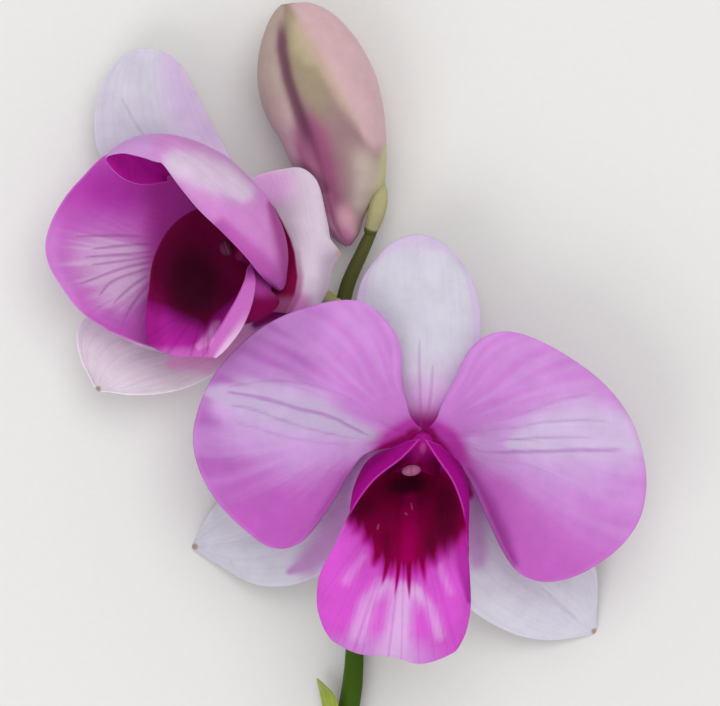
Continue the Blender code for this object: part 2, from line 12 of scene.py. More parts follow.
import bpy
import numpy as np
from bpy.props import FloatProperty, FloatVectorProperty, IntProperty, PointerProperty
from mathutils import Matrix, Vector


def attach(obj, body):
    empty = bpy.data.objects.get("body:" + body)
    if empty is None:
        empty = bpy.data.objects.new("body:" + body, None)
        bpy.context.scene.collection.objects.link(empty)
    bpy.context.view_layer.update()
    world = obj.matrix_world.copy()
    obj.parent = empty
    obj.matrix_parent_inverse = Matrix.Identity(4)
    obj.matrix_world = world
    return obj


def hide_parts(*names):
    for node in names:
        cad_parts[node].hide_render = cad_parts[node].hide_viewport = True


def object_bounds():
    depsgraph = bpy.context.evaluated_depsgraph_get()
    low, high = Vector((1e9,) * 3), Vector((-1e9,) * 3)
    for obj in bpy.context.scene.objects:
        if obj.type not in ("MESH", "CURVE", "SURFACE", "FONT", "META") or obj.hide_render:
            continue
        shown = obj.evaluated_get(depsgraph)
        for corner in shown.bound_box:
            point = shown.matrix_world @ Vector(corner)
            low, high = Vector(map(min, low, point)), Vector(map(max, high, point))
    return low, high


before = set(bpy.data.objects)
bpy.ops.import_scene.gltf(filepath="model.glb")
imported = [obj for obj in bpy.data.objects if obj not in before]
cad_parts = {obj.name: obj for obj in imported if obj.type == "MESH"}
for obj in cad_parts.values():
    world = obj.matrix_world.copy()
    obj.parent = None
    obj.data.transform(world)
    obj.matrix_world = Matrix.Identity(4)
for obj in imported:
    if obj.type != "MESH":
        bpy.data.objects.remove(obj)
CAD_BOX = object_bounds()

bl_info = {
    "name": "Dendrobium Spray",
    "version": (1, 0, 0),
    "blender": (4, 5, 0),
    "location": "View3D > Sidebar > Orchid",
    "description": "Builds the finish of a cut dendrobium spray round its packed solids",
    "category": "Add Mesh",
}

FLOWER_WIDTH = 75.0  # millimetres across the two petals of the front flower
FLOWER_STEPS = 453.0  # grid steps across the same petals
GRID = FLOWER_WIDTH / FLOWER_STEPS  # millimetres a grid step
ORIGIN = (346.0, 421.0)  # grid place that becomes x = y = 0
SCALE = 0.001  # metres a millimetre
TAPER = 5.0  # millimetres from the margin to a blade's full thickness
ROUNDING = 0.25  # millimetres over which a margin closes
MARGIN_LINES = np.array([0.0, 0.003, 0.008, 0.016])  # closer lines of the mesh along a margin
BLADE_MAP = "blade_map"  # UV map: across the piece, then from base to tip
LIP_MIDDLE = 0.7  # millimetres, thickness in the middle of a lip
FACE_WALLS = (0.9, 0.4)  # millimetres, middle and margin of the column's face
BRACT_WALLS = (0.4, 0.15)  # millimetres, middle and margin of a bract

MOTTLE_SCALE = 260.0  # patches of 4 mm
CELL_SCALE = 3300.0  # cells of 0.3 mm
RELIEF_DEPTH = 0.00004  # metres
GLOW_DEPTH = 0.0008  # metres that light goes into the tissue
VELVET_ROUGH = (0.55, 0.7)  # least and most roughness of a lip
VELVET_SHINE = 0.02  # specular level of a lip

STEM_SIDES = 36  # corners of the ring that is swept along a stem
RIB_DEPTH = 0.018  # share of a stem's radius
STEM_WANDER = 0.00012  # metres
HAIR_THICKNESS = 0.000035  # metres

PICTURE = (720.0, 706.0)  # pixels, one a grid step
VIEW_DISTANCE = 2.0  # metres from the camera to the flowers
VIEW_HEIGHT = 15.0  # millimetres, the level at which a grid step fills one pixel
SENSOR = 36.0  # millimetres, width of the camera's sensor


# Shape functions. All give places as (x, y, z) with x and y in grid steps and z in millimetres.


def spline(points, at, even=True):
    """Places on a smooth curve through the points; at runs from 0 to 1."""
    points = np.asarray(points, float)
    at = np.asarray(at, float)
    count = len(points)
    if even:
        steps = points[1:] - points[:-1]
        steps[:, 2] /= GRID
        knots = np.concatenate([[0.0], np.cumsum(np.linalg.norm(steps, axis=1) ** 0.8)])
    else:
        knots = np.arange(count, dtype=float)
    knots /= knots[-1]
    slopes = np.gradient(points, knots, axis=0)
    index = np.clip(np.searchsorted(knots, at, side="right") - 1, 0, count - 2)
    width = (knots[index + 1] - knots[index])[..., None]
    t = (at[..., None] - knots[index][..., None]) / width
    first, last = points[index], points[index + 1]
    a, b = slopes[index] * width, slopes[index + 1] * width
    return (
        (2 * t**3 - 3 * t**2 + 1) * first
        + (t**3 - 2 * t**2 + t) * a
        + (3 * t**2 - 2 * t**3) * last
        + (t**3 - t**2) * b
    )


def patch(u, v, left, right, base, tip, dome=0.0, keel=0.0, wave=(0.0, 0.0, 0.0)):
    """A blade between four edges: u runs from base to tip, v from the left edge to the right edge."""
    one, zero = np.ones_like(u), np.zeros_like(u)
    sides = (1 - v)[..., None] * spline(left, u) + v[..., None] * spline(right, u)
    ends = (1 - u)[..., None] * spline(base, v) + u[..., None] * spline(tip, v)
    corners = (
        ((1 - u) * (1 - v))[..., None] * spline(left, zero)
        + ((1 - u) * v)[..., None] * spline(right, zero)
        + (u * (1 - v))[..., None] * spline(left, one)
        + (u * v)[..., None] * spline(right, one)
    )
    place = sides + ends - corners
    swell = np.sin(math.pi * u) ** 0.8 * np.sin(math.pi * v)
    place[..., 2] += dome * swell
    place[..., 2] -= keel * np.exp(-(((v - 0.5) / 0.07) ** 2)) * np.sin(math.pi * u) ** 0.5
    height, turns, phase = wave
    ripple = np.sin(2 * math.pi * (turns * u + phase)) * np.abs(2 * v - 1) ** 3 * np.sin(math.pi * u)
    rim = np.sin(2 * math.pi * (turns * v + phase)) * u**4 * np.sin(math.pi * v)
    place[..., 2] += height * (ripple + rim)
    return place


def loft(u, v, rows):
    """A sheet through cross rows given from base to tip, each row from its left edge to its right edge."""
    rows = np.asarray(rows, float)
    across = np.stack([spline(row, v, even=False) for row in rows])
    knots = np.linspace(0.0, 1.0, len(rows))
    slopes = np.gradient(across, knots, axis=0)
    index = np.clip((u * (len(rows) - 1)).astype(int), 0, len(rows) - 2)
    t = (u * (len(rows) - 1) - index)[..., None]
    width = knots[1]
    at = tuple(np.indices(u.shape))
    first, last = across[(index, *at)], across[(index + 1, *at)]
    a, b = slopes[(index, *at)] * width, slopes[(index + 1, *at)] * width
    return (
        (2 * t**3 - 3 * t**2 + 1) * first
        + (t**3 - 2 * t**2 + t) * a
        + (3 * t**2 - 2 * t**3) * last
        + (t**3 - t**2) * b
    )


def metres(place):
    """Grid places and heights as metres from the origin."""
    place = np.asarray(place, float)
    out = np.empty_like(place)
    out[..., 0] = (place[..., 0] - ORIGIN[0]) * GRID
    out[..., 1] = (ORIGIN[1] - place[..., 1]) * GRID
    out[..., 2] = place[..., 2]
    return out * SCALE


# Shapes. A blade has four edges; its base and tip are given without their corners, which the sides give. The
# lips, the rolled petal and the column's face have cross rows. Edges under another piece are carried on a
# little, so that no slit shows.

FRONT_DORSAL = {
    "left": [(407, 427, 14.2), (397, 410, 14.4), (380, 380, 15), (364, 342, 15), (356, 304, 14.2),
             (362, 280, 13.5), (372, 264, 13)],
    "right": [(442, 427, 14.2), (453, 408, 14.4), (470, 380, 14.8), (480, 348, 14.6), (481, 318, 14.2),
              (475, 288, 13.6), (463, 264, 13)],
    "base": [(424.5, 422.5, 14.4)],
    "tip": [(393, 242, 12.8), (419, 234, 12.6), (442, 242, 12.8)],
    "dome": 1.2,
    "keel": 0.35,
    "wave": (0.25, 1, 0.2),
}
FRONT_PETAL_LEFT = {
    "left": [(412, 428, 16.8), (409.5, 415, 17.3), (402, 384, 18.6), (401, 351, 19.4), (398, 339, 19.5),
             (392, 328, 19.6), (385, 319, 19.5), (379, 312.5, 19.4)],
    "right": [(410, 448, 16.8), (387, 448, 17.5), (364, 455, 19), (350, 473, 20.2), (333, 502, 20.4),
              (320, 521, 19.7), (311, 532.5, 19.2), (301, 542, 18.9), (292, 546.5, 18.7),
              (285, 548.2, 18.5)],
    "base": [(408, 438, 16.7)],
    "tip": [(373, 307.5, 19.3), (364, 302.5, 19.2), (351, 300, 19), (330, 301.5, 18.8), (312, 306, 18.6),
            (285, 315, 18.2), (258, 330, 17.8), (232, 353, 17.6), (211, 380, 17.6), (198, 410, 17.9),
            (193, 440, 18.2), (198, 466, 18.4), (214, 497, 18.6), (230, 516, 18.7), (249, 533, 18.7),
            (262, 543, 18.6), (270, 546.8, 18.6), (278, 548.4, 18.5)],
    "dome": 1.6,
    "keel": 0.3,
    "wave": (0.5, 1.5, 0.1),
}
FRONT_PETAL_RIGHT = {
    "left": [(437, 428, 16.8), (438.5, 414, 17.4), (455, 379, 18.8), (463, 360, 19.3), (473, 345.5, 19.7),
             (484, 337, 19.8), (493, 333, 19.8)],
    "right": [(439, 448, 16.8), (453, 458, 17.8), (467, 476, 19), (486, 517, 20.2), (504, 554, 19.8),
              (513, 567, 19.5), (523, 575.5, 19.2), (534, 580, 18.9)],
    "base": [(441, 438, 16.7)],
    "tip": [(503, 331.3, 19.7), (516, 332.5, 19.6), (533, 338, 19.4), (575, 361, 19), (608, 388, 18.4),
            (631, 420, 18), (643, 456, 17.8), (646, 485, 17.9), (640, 517, 18.1), (625, 541, 18.2),
            (602, 561, 18.4), (572, 577, 18.6), (558, 580.6, 18.6), (545, 581.6, 18.7)],
    "dome": 1.6,
    "keel": 0.3,
    "wave": (0.5, 1.5, 0.55),
}
FRONT_LATERAL_LEFT = {
    "left": [(408, 448, 13.9), (375, 446, 13.2), (330, 454, 11.4), (280, 468, 8.8), (236, 487, 5.8),
             (213, 508, 3.4), (200, 528, 1.6), (194, 543, 0.7)],
    "right": [(405, 482, 10.9), (386, 520, 11.4), (355, 556, 11), (318, 577, 9.2), (285, 587, 7.2),
              (253, 585, 4.8), (220, 568, 2.1), (197, 554, 0.6)],
    "base": [(405, 466, 12.6)],
    "tip": [(190.5, 549, 0.2)],
    "dome": 0.9,
    "keel": 0.3,
    "wave": (0.2, 1, 0.6),
}
FRONT_LATERAL_RIGHT = {
    "left": [(442, 448, 13.9), (475, 463, 12.9), (520, 500, 10.6), (560, 530, 7.8), (585, 551, 5.4),
             (597, 570, 3.8), (599, 597, 2), (598, 623, 0.7)],
    "right": [(427, 482, 10.9), (438, 536, 11.4), (453, 585, 10.8), (470, 609, 9.4), (493, 625, 7.4),
              (523, 638, 4.9), (556, 642, 2.4), (586, 638, 0.6)],
    "base": [(436, 464, 12.7)],
    "tip": [(597, 635, 0.3)],
    "dome": 0.9,
    "keel": 0.3,
    "wave": (0.2, 1, 0.1),
}
FRONT_LIP = [
    [(420, 438, 28.6), (398, 442, 24.6), (390, 460, 19), (414, 478, 13.6), (438, 462, 19), (447, 447, 24.6),
     (424, 438, 28.6)],
    [(402, 457, 31.8), (371, 459, 26.4), (380, 484, 19), (411, 496, 15.4), (440, 486, 19), (459, 465, 26.2),
     (436, 457, 31.4)],
    [(377, 476, 33.6), (358, 481, 28.6), (376, 505, 22), (409, 514, 19.4), (442, 505, 22), (465, 484, 28.2),
     (451, 479, 33.2)],
    [(360, 496, 34), (353, 503, 30.4), (375, 522, 25), (408, 534, 22.8), (441, 523, 25), (466, 505, 30),
     (460, 501, 33.8)],
    [(348, 515, 33.8), (352, 526, 31.4), (374, 545, 28), (406, 560, 26.4), (441, 548, 28), (465, 531, 31.4),
     (464, 518, 33.8)],
    [(334, 545, 32.4), (344, 556, 31.8), (371, 575, 30.3), (403, 588, 29.4), (438, 578, 30.3),
     (464, 558, 31.8), (467, 546, 32.8)],
    [(320, 573, 30.4), (334, 586, 31), (364, 604, 31), (399, 614, 30.8), (434, 606, 31), (462, 588, 31.2),
     (469, 574, 31)],
    [(317, 600, 28.4), (330, 613, 29.4), (360, 630, 30), (397, 638, 30), (432, 632, 30), (459, 614, 30),
     (470, 604, 29)],
    [(322, 622, 27.3), (333, 632, 27.9), (361, 645, 28.8), (394, 649.5, 28.9), (425, 648, 28.8),
     (453, 637, 28.4), (466, 628, 27.7)],
    [(328.5, 633.5, 26.5), (336, 641.5, 26.8), (359, 652, 27.3), (391, 655, 27.5), (421, 662, 27.4),
     (451, 652, 27), (460, 642, 26.7)],
]
FRONT_COLUMN = [  # column, stalks and stem: x, y, height and radius
    (416, 480, 10.8, 1.1), (420, 464, 11.6, 1.4), (424, 448, 13.2, 1.5), (424, 441, 15.8, 1.5),
    (423, 441.5, 18, 1.6), (420, 450, 19.8, 2), (416, 458, 21.2, 1.9),
]
COLUMN_FACE = [
    [(413, 443, 17.4), (418, 437.5, 19.4), (423, 434.5, 20.2), (428, 438, 19.4), (434, 443.5, 17.4)],
    [(402, 452, 18), (411, 447, 21.4), (421, 446, 22.8), (431, 448, 21.4), (440, 453, 18)],
    [(391, 466, 18), (403, 460, 22.2), (416, 458, 24), (430, 460, 22.2), (443, 466, 18)],
    [(384, 477, 17.6), (396, 471, 22.2), (411, 468, 24.2), (427, 473, 22.2), (443, 478, 17.6)],
]
FRONT_STALK = [
    (360.5, 592, 5.35, 0.95), (368, 572, 5.5, 1.05), (388, 520, 5.4, 1.2), (410, 470, 6.6, 1.4),
    (423, 440, 9, 1.7), (427, 427, 11.2, 1.8),
]
SIDE_DORSAL = {
    "left": [(272, 249, 6.8), (215, 218, 5), (150, 190, 4.4), (110, 170, 4.6), (97, 150, 5.2),
             (93, 124, 5.8), (96, 97, 6.6), (106, 72, 7.2), (120, 55, 7.6)],
    "right": [(286, 240, 7.4), (266, 208, 6.8), (245, 180, 6.8), (233, 162, 6.8), (220, 138, 7),
              (205, 110, 7.4), (192, 84, 7.6), (181, 64, 7.6)],
    "base": [(278, 244, 6.8)],
    "tip": [(128, 50, 7.5), (140, 47, 7.4), (153, 48, 7.4), (168, 53.5, 7.5)],
    "dome": -0.8,
    "keel": 0.3,
    "wave": (0.2, 1, 0.2),
}
SIDE_PETAL_LEFT = {
    "left": [(281, 256, 9.5), (262, 238, 8.4), (235, 214, 7.8), (195, 176, 8.4), (160, 158, 10),
             (134, 150.5, 11.5), (121, 149.5, 12.2), (112, 151.5, 12.6), (103, 156, 12.9)],
    "right": [(285, 278, 8.5), (270, 289, 8.3), (246, 314, 8.2), (212, 341, 9.4), (180, 352, 11),
              (150, 347, 12.4), (130, 340, 13.2), (109, 331, 13.6)],
    "base": [(282, 267, 9)],
    "tip": [(94, 164, 13.1), (83, 176, 13.3), (71, 189, 13.4), (59, 206, 13.4), (49, 227, 13.4),
            (45, 246, 13.4), (49, 266, 13.5), (60, 285, 13.6), (80, 311, 13.7)],
    "dome": -3.6,
    "keel": 0,
    "wave": (0.3, 1.5, 0.3),
}
SIDE_PETAL_RIGHT = [
    [(279, 258, 15.35), (283, 263, 15.15), (285.5, 270, 14.95), (286, 278, 14.65), (285, 285, 14.5),
     (281, 290, 14.4), (274, 288, 14.5)],
    [(264, 234, 15.6), (271, 222, 16), (280.5, 229, 18.6), (285, 246, 20.6), (280, 263, 21.4),
     (271, 275, 21.4), (262, 277, 20.8)],
    [(248, 208, 14.2), (256, 195, 15.4), (267, 201, 19.6), (271, 217, 23.8), (265, 237, 25.6),
     (256, 253, 25.8), (245, 256, 25.2)],
    [(228, 188, 12.8), (238, 173, 14.8), (249, 181, 20.2), (252, 197, 24.8), (246, 215, 27.4),
     (234, 232, 27.8), (223, 233, 27.2)],
    [(208, 176, 12.6), (214, 154, 14.8), (226, 161, 20.4), (228, 176, 25.4), (220, 194, 28.6),
     (210, 210, 29.2), (200, 211, 28.6)],
    [(190, 172, 13), (186, 146, 16), (194, 143, 21.4), (198, 154, 26.6), (194, 172, 29.6), (188, 187, 30.2),
     (181, 188, 29.6)],
    [(178, 174, 14.2), (160, 151, 17.6), (162, 137, 22), (168, 141, 26.6), (170, 155, 29.4),
     (172, 168, 30.2), (170, 173, 30)],
    [(168, 177, 15.6), (142, 160, 18.6), (136, 143, 22), (142, 139, 25.4), (150, 146, 28.2),
     (158, 157, 29.4), (164, 165, 29.6)],
    [(167, 179, 16), (141, 171, 18.4), (122, 156, 21), (117, 149, 23.6), (134, 149, 26.8), (148, 155, 28.8),
     (159, 163.5, 29.2)],
    [(168, 182, 16.6), (143, 185, 18.2), (122, 178, 20.4), (106.5, 160, 22.8), (122, 154.5, 25.6),
     (139, 157.5, 27.8), (154, 161.5, 28.8)],
]
SIDE_LATERAL_LEFT = {
    "left": [(287, 286, 7.8), (225, 306, 4.6), (165, 312, 3.6), (115, 310, 4), (88, 314, 5.4),
             (76, 331, 6.8), (79, 357, 8.2), (91, 382, 9.4)],
    "right": [(309, 304, 8.4), (272, 330, 8.4), (241, 358, 9.2), (211, 376, 9.6), (186, 388, 9.8),
              (158, 394, 10), (130, 395, 10), (107, 392, 9.8)],
    "base": [(298, 295, 8)],
    "tip": [(97, 391, 9.8)],
    "dome": -2.8,
    "keel": 0.3,
    "wave": (0.2, 1, 0.4),
}
SIDE_LATERAL_RIGHT = {
    "left": [(262, 312, 13.2), (266, 290, 13), (272, 262, 12.8), (268, 239, 12.5), (260, 220, 11.8),
             (250, 202, 11.4), (240, 187, 11.2)],
    "right": [(327, 303, 12.4), (328, 292, 12.6), (331, 278, 12.6), (334, 265, 12.3), (341, 254, 11.9),
              (332, 244, 12.8), (328, 226, 13.7), (322, 196, 14.6)],
    "base": [(298, 314, 13)],
    "tip": [(256, 176, 12.2), (281, 169, 14), (302, 168, 15), (315, 178, 15.2)],
    "dome": 1.6,
    "keel": 0,
    "wave": (0, 1, 0),
}
SIDE_LIP = [
    [(240, 226, 12.6), (250, 243, 10.8), (262, 262, 10.4), (273, 281, 12.2), (275, 277, 15.4),
     (270, 265, 17.4), (264, 257, 18.6), (260, 252, 18.8)],
    [(216, 212, 14.6), (226, 232, 11.4), (240, 256, 10.8), (259, 287, 12.4), (270, 291, 14.8),
     (262, 281, 18.4), (250, 267, 19.9), (254, 265.5, 20.2)],
    [(195, 210, 15.8), (203, 232, 12.4), (218, 262, 11.4), (246, 298, 12.6), (277, 303, 16.6),
     (262, 293, 20.6), (246, 281, 22.6), (256, 282, 22.9)],
    [(170, 228, 16.6), (180, 250, 14), (199, 278, 13), (228, 308, 14.4), (262, 316, 17.6), (254, 308, 21.2),
     (238, 299, 23.4), (253, 303, 23.8)],
    [(154, 258, 17.4), (165, 275, 15.8), (184, 298, 15.2), (210, 321, 16.4), (234, 326, 19.2),
     (239, 323, 21.6), (226, 319, 23.2), (244, 326, 23.6)],
    [(149, 290, 18.2), (159, 302, 17.6), (177, 318, 17.4), (197, 334, 18.4), (214, 339, 20.2),
     (224, 338, 21.6), (216, 336, 22.8), (233, 342, 23.2)],
    [(146, 316, 18.6), (154, 325, 18.8), (170, 336, 19), (186, 345, 19.6), (199, 349, 20.8),
     (212, 349, 21.6), (210, 348, 22.4), (224, 352, 22.8)],
    [(146, 335, 18.6), (151, 345, 18.8), (162, 352, 19.2), (177, 356, 19.8), (189, 357, 20.6),
     (201, 357, 21.3), (207.5, 357, 22), (217, 358, 22.2)],
]
SIDE_COLUMN = [
    (313, 301, 10.6, 1.5), (304, 289, 10.6, 2.1), (294, 274, 10.8, 2.2), (282, 262, 12.4, 2),
    (266, 256, 14.6, 2), (249, 252, 16.2, 2), (236, 250, 17.2, 1.7),
]
FRONT_CAP = ((411.0, 470.0, 24.9), (1.6, 0.9, 0.9))  # place, and half sizes in millimetres
SIDE_CAP = ((226.5, 248.5, 18.0), (1.1, 1.3, 1.0))
SIDE_STALK = [
    (340, 305, 7.6, 1), (328, 301, 6.2, 1.15), (314, 291, 5.2, 1.35), (304, 281, 5.7, 1.4),
    (298, 275, 7.1, 1.3),
]
BUD_ROWS = [  # left place, right place, height of the middle, half depth
    (281, 4, 294, 2, 9.6, 0.9), (274, 11, 311, 2, 9.5, 2.8), (266, 26, 332, 12, 9.4, 4.6),
    (259, 50, 350, 30, 9.3, 6.4), (257, 76, 364, 50, 9, 7.9), (261, 102, 376, 75, 8.8, 8.8),
    (270, 124, 383, 104, 8.7, 9.2), (280, 140, 386, 133, 8.5, 9.1), (290, 162, 386.5, 158, 8.1, 8.5),
    (301, 184, 384, 182, 7.2, 7.3), (311, 203, 373, 198, 6.5, 5.9), (322, 225, 364, 217, 5.8, 4.2),
    (335, 239, 358.5, 234, 5.4, 2.6), (346, 246, 350.5, 245, 5.2, 0.3),
]
BUD_GROOVE = 0.167  # turn round the bud where one sepal laps over the next
BUD_RIDGE = (0.14, 0.59)  # turn of the front sepal's midrib at the tip and at the chin
BUD_STALK = [
    (369, 235, 5.7, 0.95), (372, 226, 6.2, 1.25), (375.6, 215, 7, 1.45), (378.4, 204, 7.6, 1.45),
    (380, 193, 7.8, 1.2), (380, 178, 7.6, 0.7),
]
RACHIS = [
    (373.5, 227, 5.9, 0.9), (369, 237, 5.65, 1.12), (363, 250, 5.4, 1.25), (346, 290, 4.9, 1.3),
    (340, 340, 4.2, 1.35), (342, 420, 3.4, 1.4), (348, 500, 3, 1.45), (352, 575, 2.7, 1.6),
    (355, 640, 2.4, 1.5), (352, 690, 2.2, 1.55), (344, 735, 2.1, 1.75), (336, 775, 2, 1.6),
    (327, 815, 2, 1.6), (322, 838, 2, 1.65),
]
LOWER_BRACT = {
    "left": [(328, 741, 2.6), (324, 722, 2.2), (321, 702, 2.2), (318, 688, 2.6)],
    "right": [(332, 735, 5.4), (339, 712, 5), (333, 695, 4.4), (322, 684, 3.4)],
    "base": [(328, 739, 4.2)],
    "tip": [(316.5, 680, 3)],
    "dome": 0.5,
}
UPPER_BRACT = {
    "left": [(334, 303, 2.6), (328, 300, 2.6), (322, 298, 2.8), (318, 296, 3)],
    "right": [(333, 292, 3.9), (329, 290, 3.8), (324, 290, 3.6), (320, 291, 3.4)],
    "base": [(332.5, 298, 3.4)],
    "tip": [(317, 293, 3.3)],
    "dome": 0.2,
}


def bud_place(t, turn):
    """A place on the closed bud: t from tip to chin, turn once round from the left over the front."""
    at = spline(BUD_ROWS, t, even=False)
    left, right, middle, depth = at[:, 0:2], at[:, 2:4], at[:, 4], at[:, 5]
    angle = turn * 2 * math.pi
    groove = np.exp(-(((turn - BUD_GROOVE) / 0.022) ** 2)) * np.sin(math.pi * t) ** 0.6
    rib = BUD_RIDGE[0] + (BUD_RIDGE[1] - BUD_RIDGE[0]) * t
    ridge = np.exp(-(((turn - rib) / 0.05) ** 2)) * np.sin(math.pi * t)
    size = 1.0 - 0.075 * groove + 0.035 * ridge
    across = 0.5 - 0.5 * np.cos(angle) * size
    place = np.empty((len(t), 3))
    place[:, :2] = left + (right - left) * across[:, None]
    place[:, 2] = middle + depth * np.sin(angle) * size
    return place


# Fields: values over a piece, mostly from 0 to 1, which its material reads as attributes.


def smooth(x, low, high):
    """Rises from 0 at low to 1 at high."""
    t = np.clip((np.asarray(x, float) - low) / (high - low), 0.0, 1.0)
    return t * t * (3.0 - 2.0 * t)


def bell(x, centre, width):
    """1 at the centre, falling away softly on both sides."""
    return np.exp(-(((x - centre) / width) ** 2))


def spot(place, centre, radii, tilt=0.0):
    """A soft oval mark on the grid, its first radius turned by tilt degrees."""
    turn = math.radians(tilt)
    x, y = place[..., 0] - centre[0], place[..., 1] - centre[1]
    first = (x * math.cos(turn) + y * math.sin(turn)) / radii[0]
    second = (y * math.cos(turn) - x * math.sin(turn)) / radii[1]
    return np.exp(-(first**2 + second**2))


def stroke(place, path, width=0.0):
    """A soft line on the grid through the points of the path, which may each add to its width."""
    flat = place[..., :2]
    total = np.zeros(flat.shape[:-1])
    for start, end in zip(path, path[1:]):
        start, end = (np.array([*point, 0.0][:3], float) for point in (start, end))
        run = end[:2] - start[:2]
        share = np.clip(((flat - start[:2]) @ run) / (run @ run), 0.0, 1.0)
        distance = np.linalg.norm(flat - start[:2] - share[..., None] * run, axis=-1)
        reach = width + start[2] + (end[2] - start[2]) * share
        total = np.maximum(total, np.exp(-((distance / reach) ** 2)))
    return total


def drawn(place, paths, width):
    """Soft, smooth lines on the grid along all of these paths, finer towards both of their ends."""
    found = []
    for path in paths:
        path = np.asarray(path, float)
        at = np.linspace(0.0, 1.0, 4 * len(path))
        line = spline(path, at, even=False) if len(path) > 2 else np.linspace(*path, len(at))
        taper = width * (0.4 + 0.6 * np.sin(math.pi * at) ** 0.5)
        found.append(stroke(place, np.column_stack([line, taper])))
    return np.max(found, axis=0)


def fan(place, centre, angles, width, seed):
    """Fine lines that spread from a place on the grid at these angles in degrees, each a little unlike."""
    draw = np.random.default_rng(seed)
    x, y = place[..., 0] - centre[0], centre[1] - place[..., 1]
    angle, reach = np.arctan2(y, x) % (2.0 * math.pi), np.hypot(x, y)
    total = np.zeros_like(x)
    for middle in np.radians(angles):
        turned = angle - middle - draw.uniform(-0.025, 0.025)
        away = turned * reach - draw.uniform(-0.04, 0.04) * reach**1.2
        total += draw.uniform(0.4, 1.0) * bell(away, 0.0, width)
    return np.clip(total, 0.0, 1.0)


def above(place, path):
    """How many grid steps a place lies above the line through the points of the path."""
    path = np.asarray(path, float)
    return np.interp(place[..., 0], path[:, 0], path[:, 1]) - place[..., 1]


def veins(u, v, count, seed, width=0.13):
    """Veins from base to tip, with finer ones that start between them further out."""
    draw = np.random.default_rng(seed)
    total = np.zeros_like(u)
    for start, first, number, share in (
        (0.0, 0.5, count, 1.0),
        (0.3, 1.0, count - 1, 0.65),
        (0.55, 0.25, 2 * count, 0.4),
    ):
        step = 0.5 if number > count else 1.0
        for k in range(number):
            centre = (first + k * step + draw.uniform(-0.12, 0.12)) / count
            strength = share * draw.uniform(0.6, 1.0)
            sway = 0.1 / count * np.sin(6.0 * u + draw.uniform(0.0, 6.28))
            total += strength * bell(v, centre + sway, width / count) * smooth(u, start, start + 0.2)
    return np.clip(total, 0.0, 1.0)


# Meshes. Their points are in millimetres until the object is made.


def lines(count):
    """Mesh lines from 0 to 1, closer at both margins."""
    return np.concatenate([MARGIN_LINES, np.linspace(0.026, 0.974, count), 1.0 - MARGIN_LINES[::-1]])


def millimetres(place):
    """Grid places and heights as millimetres from the origin."""
    return metres(place) / SCALE


def drawn_in(place, u, target, share):
    """Pulls the base of a blade towards the place where it grows out of the column."""
    pull = share * (1.0 - smooth(u, 0.0, 0.14))
    return place + pull[..., None] * (np.asarray(target, float) - place)


def join(piece, nodes):
    """Puts the piece on the part's body and hides the nodes that it stands for."""
    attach(piece, "root")
    if nodes:
        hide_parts(*nodes)
    return piece


def finished(name, points, faces, maps, fields, material):
    """Makes the object from points in millimetres, with its map and attributes."""
    mesh = bpy.data.meshes.new(name)
    lowest, highest = np.asarray(CAD_BOX, float) / SCALE
    points = np.clip(points, lowest, highest)
    mesh.from_pydata((points * SCALE).tolist(), [], faces)
    mesh.shade_smooth()
    mesh.materials.append(material)
    layer = mesh.uv_layers.new(name=BLADE_MAP)
    corners = np.empty(len(mesh.loops), np.int32)
    mesh.loops.foreach_get("vertex_index", corners)
    layer.uv.foreach_set("vector", maps[corners].astype(np.float32).ravel())
    for key, values in fields.items():
        attribute = mesh.attributes.new(key, "FLOAT", "POINT")
        attribute.data.foreach_set("value", np.asarray(values, np.float32).ravel())
    if mesh.validate():
        raise RuntimeError(f"{name} came out with faces that don't hold")
    piece = bpy.data.objects.new(name, mesh)
    bpy.context.scene.collection.objects.link(piece)
    return piece


def inward_from_margin(points):
    """Distance in millimetres from the nearest margin, measured along the mesh lines."""
    across = np.pad(np.cumsum(np.linalg.norm(np.diff(points, axis=1), axis=2), axis=1), ((0, 0), (1, 0)))
    along = np.pad(np.cumsum(np.linalg.norm(np.diff(points, axis=0), axis=2), axis=0), ((1, 0), (0, 0)))
    return np.minimum.reduce([across, across[:, -1:] - across, along, along[-1:] - along])


